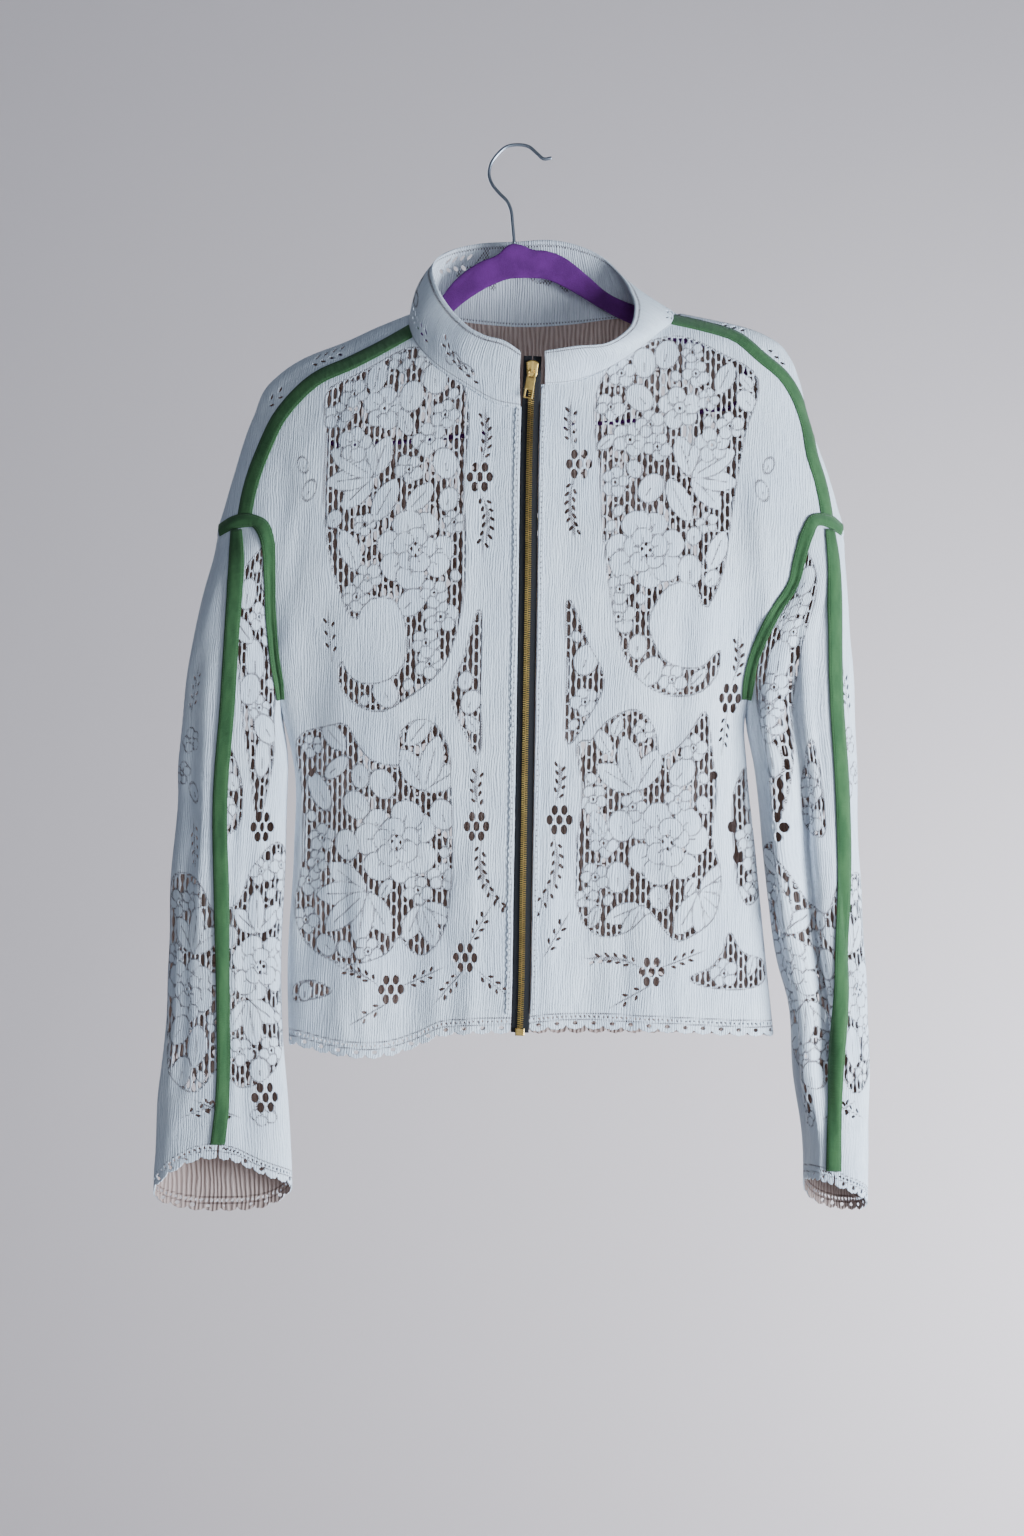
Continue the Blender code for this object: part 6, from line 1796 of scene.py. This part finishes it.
for side, word in ((LEFT, "left"), (RIGHT, "right")):
    line = rounded(SHOULDER[side], 26)
    line = along(np.vstack([line[0] * 1.7 - line[1] * 0.7, line,
                            line[-1] * 1.1 - line[-2] * 0.1]), 110)
    half = STRIPE / 2 if side == LEFT else STRIPE / 2 - 1.0
    run = unit(np.gradient(line, axis=0))
    way = np.stack([-run[:, 1], run[:, 0]], axis=1)
    seen = line[:, None] + way[:, None] * np.linspace(-half, half, 9)[None, :, None]
    form = BODY_FORM[(side, 1)]
    flat_seen = seen.reshape(-1, 2)
    edge = form.at(np.ones(len(flat_seen)), flat_seen[:, 1])[:, 0].reshape(110, 9) * side
    seen[:, :, 0] = side * np.minimum(seen[:, :, 0] * side, edge - 0.8)
    rows = FRONT(on_body(side, 1, seen.reshape(-1, 2))).reshape(110, 9, 3)
    facing = rows_facing(rows, np.array([0.0, -1.0, 0.2]))
    piece, long = tape_on("tape_shoulder_" + word, rows, facing, STAND, TAPE, GREEN, STRIPE)
    ride(piece, "bias_tape", "shoulder_stripe_" + word)

    z = np.linspace(-365.0, stripe_rows(side, 2)[-1], 200)
    part = stripe_part(side, z)
    reach = (STRIPE - 0.5) / 2 / SLEEVE_FORM[side].girth(z)
    across = part[:, None] + reach[:, None] * np.linspace(-1, 1, 9)[None, :]
    flat = np.stack([across * MEAN_GIRTH, np.broadcast_to(z[:, None], across.shape)], axis=2)
    rows = SLEEVE[side](flat.reshape(-1, 2)).reshape(200, 9, 3)
    facing = rows_facing(rows, np.array([0.0, -1.0, 0.0]))
    piece, long = tape_on("tape_sleeve_" + word, rows, facing, STAND + 1.2, TAPE, GREEN, STRIPE)
    ride(piece, "bias_tape", "sleeve_stripe_" + word)


def binding_rows(side, face):
    """Points across an armhole seam, and which way each faces: body, seam, sleeve."""
    line = ARM_LINE[side][1:-1]
    body = on_body(side, face, line)
    surface, turn = (FRONT, 1) if face == 1 else (BACK, -1)
    run = unit(np.gradient(body, axis=0))
    way = np.stack([-run[:, 1], run[:, 0]], axis=1)
    way *= np.sign(np.sum(way * np.array([-side, 0.3]), axis=1).mean())
    rim = RIM[side][0]
    middle = ARM_COUNT - 1
    flat = rim[middle - 1:0:-1] if face == 1 else rim[middle + 1:-1]
    scale = SLEEVE_FORM[side].girth(flat[:, 1]) / MEAN_GIRTH
    real = flat * np.stack([scale, np.ones(len(flat))], axis=1)
    run = unit(np.gradient(real, axis=0))
    sleeve_way = np.stack([-run[:, 1], run[:, 0]], axis=1)
    sleeve_way *= np.sign(np.sum(sleeve_way * np.array([0.6 * face, -1.0]), axis=1).mean())
    sleeve_way[:, 0] /= scale
    half = STRIPE / 2 - 0.5
    points, facing = [], []
    for reach in (half, half / 2):
        points.append(surface(body + way * reach))
        facing.append(facing_on(surface, body + way * reach, turn))
    seam_facing = facing_on(surface, body, turn) + facing_on(SLEEVE[side], flat + sleeve_way * 2,
                                                             side)
    points.append(surface(body))
    facing.append(unit(seam_facing))
    for reach in (half / 2, half):
        moved = flat + sleeve_way * reach
        moved[:, 0] = np.clip(moved[:, 0], 1.0, MEAN_GIRTH - 1.0)
        points.append(SLEEVE[side](moved))
        facing.append(facing_on(SLEEVE[side], moved, side))
    rows = np.stack(points, axis=1)[::2]
    facing = np.stack(facing, axis=1)[::2]
    lift = np.array([0.0, 0.2, 0.9, 0.2, 0.0])[None, :, None]
    return rows + facing * lift, facing


def smooth_across(rows, count):
    """The same rows with more points across, on smooth curves."""
    return finer_rows(rows.swapaxes(0, 1), count).swapaxes(0, 1)


for side, word in ((LEFT, "left"), (RIGHT, "right")):
    for face, name in ((1, "front"), (-1, "back")):
        rows, facing = binding_rows(side, face)
        rows = smooth_across(finer_rows(rows, 100), 9)
        facing = unit(smooth_across(finer_rows(facing, 100), 9))
        piece, long = tape_on("tape_armhole_" + word + "_" + name, rows, facing, 1.2, TAPE,
                              GREEN, STRIPE)
        ride(piece, "bias_tape", "armhole_binding_" + word + "_" + name)


# ---------------------------------------------------------------- zip
def zip_path(z):
    """Middle of the zip: on the front's line, then up between the collar's ends."""
    x = curve(ZIP_LINE, z)
    body = FRONT(np.stack([np.full(len(z), 0.01), z], axis=1))[:, 1]
    body = np.where(z > -252, FRONT(np.array([(0.01, -252.0)]))[0, 1], body)
    rise = np.clip((z + 252.0) / 44.0, 0, 1)
    return np.stack([x, body - 6.0 * rise, z], axis=1)


def zip_frame(z):
    """Middle of the zip with the ways down, out and right of it."""
    middle = zip_path(z)
    run = unit(np.gradient(middle, axis=0))
    out_way = unit(np.cross(run, np.array([1.0, 0.0, 0.0])))
    out_way = out_way * np.sign(-out_way[:, 1:2])
    right_way = unit(np.cross(out_way, run))
    return middle, run, out_way, right_way * np.sign(right_way[:, 0:1])


ZIP_TOP, ZIP_FOOT = -209.0, -829.0
z = np.linspace(ZIP_TOP, ZIP_FOOT, 200)
middle, run, out_way, right_way = zip_frame(z)
for side, word in ((LEFT, "left"), (RIGHT, "right")):
    q = np.linspace(0.5, ZIP_TAPE, 6)[None, :, None]
    bead = 0.5 * np.exp(-((q - 1.4) / 0.8) ** 2)
    top = middle[:, None] + right_way[:, None] * side * q + out_way[:, None] * (bead - 0.2)
    bottom = middle[:, None] + right_way[:, None] * side * q - out_way[:, None] * 1.0
    flat = np.stack(np.broadcast_arrays(q[:, :, 0] * side, -z[:, None]), axis=2)
    piece = grid_shell("zip_tape_cloth_" + word, top, bottom, BLACK, flat)
    ride(piece, "zip_tape", "zip_tape_" + word)


def zip_teeth():
    """Every tooth of both tapes: a bevelled peg set across the tape's edge, the right
    row half a pitch below the left one, carried down the zip as one array."""
    pitch = 2.0
    at = np.arange(SLIDER_Z - 9.5, ZIP_FOOT + 4.0, -pitch)
    peg = np.array([(-0.5, -0.52), (2.9, -0.52), (2.9, 0.52), (-0.5, 0.52)])
    crown = np.array([(-0.15, -0.30), (2.55, -0.36), (2.55, 0.36), (-0.15, 0.30)])
    quads = [(0, 3, 2, 1), (4, 5, 6, 7)]
    quads += [(k, (k + 1) % 4, (k + 1) % 4 + 4, k + 4) for k in range(4)]
    corners = np.array([[q[0], q[1], q[2]] for q in quads] + [[q[0], q[2], q[3]] for q in quads])
    points, faces = [], []
    for side, shift in ((LEFT, 0.0), (RIGHT, pitch / 2)):
        rows = at - shift
        middle, run, out_way, right_way = zip_frame(rows)
        shape = np.vstack([peg, crown])
        lift = np.array([0.0] * 4 + [CHAIN[1]] * 4) + 0.15
        place = (middle[:, None] + right_way[:, None] * side * shape[None, :, 0:1]
                 + run[:, None] * shape[None, :, 1:2] + out_way[:, None] * lift[None, :, None])
        count = sum(len(p) for p in points)
        points.append(place.reshape(-1, 3))
        index = np.arange(len(rows))[:, None, None] * 8 + corners[None] + count
        index = index.reshape(-1, 3)
        if side == LEFT:
            index = index[:, ::-1]
        faces.append(index)
    return np.vstack(points), np.vstack(faces)


points, faces = zip_teeth()
teeth = write_mesh("zip_teeth", points, faces, [TEETH], sharp=np.ones(len(faces), bool))
ride(turned_out(teeth), "zip_metal", "zip_chain")


def plate(name, loops, step, place, low, high, edge, material):
    """A metal plate with rounded edges: cut on a fine grid by the distance to its
    outlines, and thinner near an edge on a quarter circle."""
    outline = loops[0]
    u, z = even_grid(outline, step)
    where = np.stack([u.ravel(), z.ravel()], axis=1)
    field = edge_distance(where, outline)
    for hole in loops[1:]:
        field = np.minimum(field, -edge_distance(where, hole))
    field = field.reshape(u.shape)
    flat, triangles, at, other, share = cut_cloth(u, z, field, plain=1e9)
    depth = field.ravel()[at] * (1 - share) + field.ravel()[other] * share
    soft = 1 - np.clip(depth / edge, 0, 1)
    round_off = edge * (1 - np.sqrt(np.clip(1 - soft ** 2, 0, 1)))
    round_off = np.minimum(round_off, (high - low) / 2 - 0.02)[:, None]
    origin, right, up, out = place
    base = origin + right * flat[:, 0:1] + up * flat[:, 1:2]
    top = base + out * (high - round_off)
    bottom = base + out * (low + round_off)
    faces = two_skins(triangles, len(base))
    if np.dot(np.cross(right, up), out) < 0:
        faces = faces[:, ::-1]
    return write_mesh(name, np.vstack([top, bottom]), faces, [material])


def lean(shape, degrees):
    """Plane points turned about the hinge."""
    shape = np.asarray(shape, float)
    angle = math.radians(degrees)
    return np.stack([shape[:, 0] * math.cos(angle) + shape[:, 1] * math.sin(angle),
                     shape[:, 1] * math.cos(angle) - shape[:, 0] * math.sin(angle)], axis=1)


seat = zip_path(np.array([SLIDER_Z]))[0]
coarse_z = np.linspace(ZIP_TOP, ZIP_FOOT, 22)
_, run, out_way, right_way = zip_frame(coarse_z)
near = int(np.argmin(np.abs(coarse_z - SLIDER_Z)))
slide_out, slide_right, slide_up = out_way[near], right_way[near], -run[near]
body = [(-3.2, -7.0), (3.2, -7.0), (5.4, 3.0), (5.6, 6.2), (2.4, 8.0), (-2.4, 8.0),
        (-5.6, 6.2), (-5.4, 3.0)]
slider = plate("zip_slider_body", [ring(body, 60)], 0.35,
               (seat, slide_right, slide_up, slide_out), 0.15, 3.55, 1.1, GOLD)
ride(slider, "zip_metal", "zip_slider")
foot = zip_path(np.array([ZIP_FOOT + 0.5]))[0]
stop = plate("zip_bottom_stop", [np.array([(-4.2, -3.2), (4.2, -3.2), (4.2, 3.6), (-4.2, 3.6)])],
             0.35, (foot, right_way[-1], -run[-1], out_way[-1]), 0.1, 2.7, 0.8, GOLD)
ride(stop, "zip_metal", "zip_stop")

PULL_BAR = 0.6
hinge = seat + slide_out * (3.55 + 1.45) + slide_up * -0.55
half = PULL[1] / 2
foot_z = -PULL[0] + PULL_BAR
blade = lean([(-half + 1.6, PULL_BAR), (half - 1.6, PULL_BAR), (half - 0.4, -4.0), (half, -8.0),
              (half, foot_z + 0.6), (half - 0.6, foot_z), (-half + 0.6, foot_z),
              (-half, foot_z + 0.6), (-half, -8.0), (-half + 0.4, -4.0)], 9.0)
slot = lean([(-1.6, -PULL_BAR), (1.6, -PULL_BAR), (2.2, -3.5), (2.0, -6.8), (-2.0, -6.8),
             (-2.2, -3.5)], 9.0)
window = lean([(-2.6, -18.6), (2.6, -18.6), (2.6, foot_z + 1.4), (-2.6, foot_z + 1.4)], 9.0)
pull = plate("zip_pull_tab", [blade, slot, window], 0.35,
             (hinge, np.array([1.0, 0, 0]), np.array([0, 0, 1.0]), np.array([0, -1.0, 0])),
             -PULL[2] / 2, PULL[2] / 2, 0.45, GOLD)
ride(pull, "zip_metal", "zip_pull", body="pull_tab")
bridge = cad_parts["zip_bridge"]
bridge.data.materials.clear()
bridge.data.materials.append(GOLD.copy())


# ---------------------------------------------------------------- edging beside the zip
def edging_lace(u, z):
    """A row of round eyelets along the middle of the strip, not cut but only drawn as a line that
    the white cloth marks with dark dots of painted shade.
    """
    row = (z / 5.0 - np.floor(z / 5.0) - 0.5) * 5.0
    away = np.abs(np.hypot((np.abs(u) - 11.5), row) - 0.1)
    return np.full(u.shape, FAR), away


for side, word, top_z in ((LEFT, "left", -256.0), (RIGHT, "right", -236.0)):
    z = np.linspace(top_z, -812.0, 600)
    near = ZIP_TAPE + SEAM + 0.6
    wave = near + 4.0 + 1.1 * np.abs(np.sin(z * math.pi / 7.0))
    outline = np.vstack([np.stack([np.full(600, near), z], axis=1),
                         np.stack([wave, z], axis=1)[::-1]]) * (side, 1)
    piece, area = lay_cloth([(outline, 0.0, 1.0, edging_lace, FRONT, 1)],
                            "edging_" + word, [WHITE, WHITE], low=STAND, high=STAND + 0.8)
    ride(piece, "lace_cloth", "placket_edge_" + word)


# ---------------------------------------------------------------- hanger
def loft(name, rings, material):
    """Closed surface through rings of points, with a fan at each end."""
    count, around = rings.shape[:2]
    index = np.arange(count * around).reshape(count, around)
    after = np.roll(index, -1, axis=1)
    a, b, c, d = index[:-1], after[:-1], after[1:], index[1:]
    points = np.vstack([rings.reshape(-1, 3), rings[0].mean(axis=0), rings[-1].mean(axis=0)])
    hub = np.full(around, count * around)
    triangles = np.vstack([np.stack([a, b, c], axis=-1).reshape(-1, 3),
                           np.stack([a, c, d], axis=-1).reshape(-1, 3),
                           np.stack([hub, index[0], after[0]], axis=1),
                           np.stack([index[-1], after[-1], hub + 1], axis=1)])
    return turned_out(write_mesh(name, points, triangles, [material]))


stations = np.linspace(HANGER[0, 0], HANGER[-1, 0], 150)
top = curve(HANGER, stations, 1)
low = curve(HANGER, stations, 2)
deep = HANGER_THICK / 2 * np.clip(np.minimum(stations - stations[0], stations[-1] - stations)
                                  / 6.0 + 0.6, 0.6, 1.0)
angle = np.linspace(0, 2 * math.pi, 25)[:-1]
power = 2 / 3.2
cos, sin = np.cos(angle), np.sin(angle)
round_z = np.sign(cos) * np.abs(cos) ** power
round_y = np.sign(sin) * np.abs(sin) ** power
rings = np.stack([np.broadcast_to(stations[:, None], (150, 24)),
                  deep[:, None] * round_y[None],
                  ((top + low) / 2)[:, None] + ((top - low) / 2)[:, None] * round_z[None]], axis=2)
ride(loft("hanger_arms", rings, FLOCK), "hanger_flock", "hanger_body")


def tube_rings(line, across, around):
    """Rings round a line in the plane of the hanger."""
    run = unit(np.gradient(line, axis=0))
    way = np.stack([-run[:, 1], run[:, 0]], axis=1)
    angle = np.linspace(0, 2 * math.pi, around + 1)[:-1]
    out = across / 2 * np.cos(angle)[None]
    depth = np.broadcast_to(across / 2 * np.sin(angle)[None], (len(line), around))
    return np.stack([line[:, 0:1] + way[:, 0:1] * out, depth,
                     line[:, 1:2] + way[:, 1:2] * out], axis=2)


ride(loft("hanger_trouser_bar", tube_rings(rounded(BAR, 160), BAR_THICK, 14), FLOCK),
     "hanger_flock", "hanger_bar")
ride(loft("hook_wire", tube_rings(rounded(HOOK, 160), WIRE, 18), STEEL), "hook_wire",
     "hanger_hook")


# ---------------------------------------------------------------- room, light and camera
def flat_board(name, corners, colour):
    """A plain matt board through four corners, in metres."""
    mesh = bpy.data.meshes.new(name)
    mesh.from_pydata(corners, [], [(0, 1, 2, 3)])
    board = bpy.data.objects.new(name, mesh)
    bpy.context.scene.collection.objects.link(board)
    finish = Finish(name, {"Roughness": 0.95, "Specular IOR Level": 0.1,
                           "Base Color": (*colour, 1)})
    mesh.materials.append(finish.material)
    board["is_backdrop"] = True


# The backdrop stands far enough off that the jacket can be seen from behind.
WALL_Y, FLOOR_Z = 3.4, -2.75
flat_board("backdrop", [(-6, WALL_Y, FLOOR_Z), (6, WALL_Y, FLOOR_Z), (6, WALL_Y, 4),
                        (-6, WALL_Y, 4)], (0.82, 0.71, 0.685))
flat_board("floor", [(-6, -6, FLOOR_Z), (6, -6, FLOOR_Z), (6, WALL_Y, FLOOR_Z),
                     (-6, WALL_Y, FLOOR_Z)], (0.62, 0.60, 0.60))


def area_light(name, place, target, size, power, colour):
    """A square soft light that faces a point."""
    light = bpy.data.lights.new(name, "AREA")
    light.shape = "SQUARE"
    light.size = size
    light.energy = power
    light.color = colour
    holder = bpy.data.objects.new(name, light)
    holder.location = place
    holder.rotation_euler = (Vector(target) - Vector(place)).to_track_quat("-Z", "Y").to_euler()
    bpy.context.scene.collection.objects.link(holder)


area_light("window_right", (1.75, -1.15, -0.95), (0, 0, -0.55), 0.9, 124, (0.74, 0.87, 1.0))
area_light("soft_front", (0.9, -3.2, -0.7), (0, 0, -0.6), 1.8, 24, (0.78, 0.89, 1.0))
area_light("wall_wash", (3.0, 1.4, -1.9), (0.9, 3.4, -1.1), 1.6, 190, (0.78, 0.88, 1.0))
area_light("soft_back", (-1.2, 2.6, 0.6), (0, 0, -0.55), 1.4, 46, (0.86, 0.92, 1.0))
world = bpy.data.worlds.new("soft_room")
world.use_nodes = True
world.node_tree.nodes["Background"].inputs["Color"].default_value = (0.66, 0.78, 1.0, 1)
world.node_tree.nodes["Background"].inputs["Strength"].default_value = 0.20
bpy.context.scene.world = world

camera = bpy.data.cameras.new("camera")
camera.lens = 50
camera.sensor_width = 36
camera.clip_start = 0.05
holder = bpy.data.objects.new("camera", camera)
holder.location = (-0.0033, -2.01, -0.5855)
holder.rotation_euler = (math.pi / 2, 0, 0)
bpy.context.scene.collection.objects.link(holder)
bpy.context.scene.camera = holder

box = [[list(map(float, corner)) for corner in b] for b in (cad_box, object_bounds())]
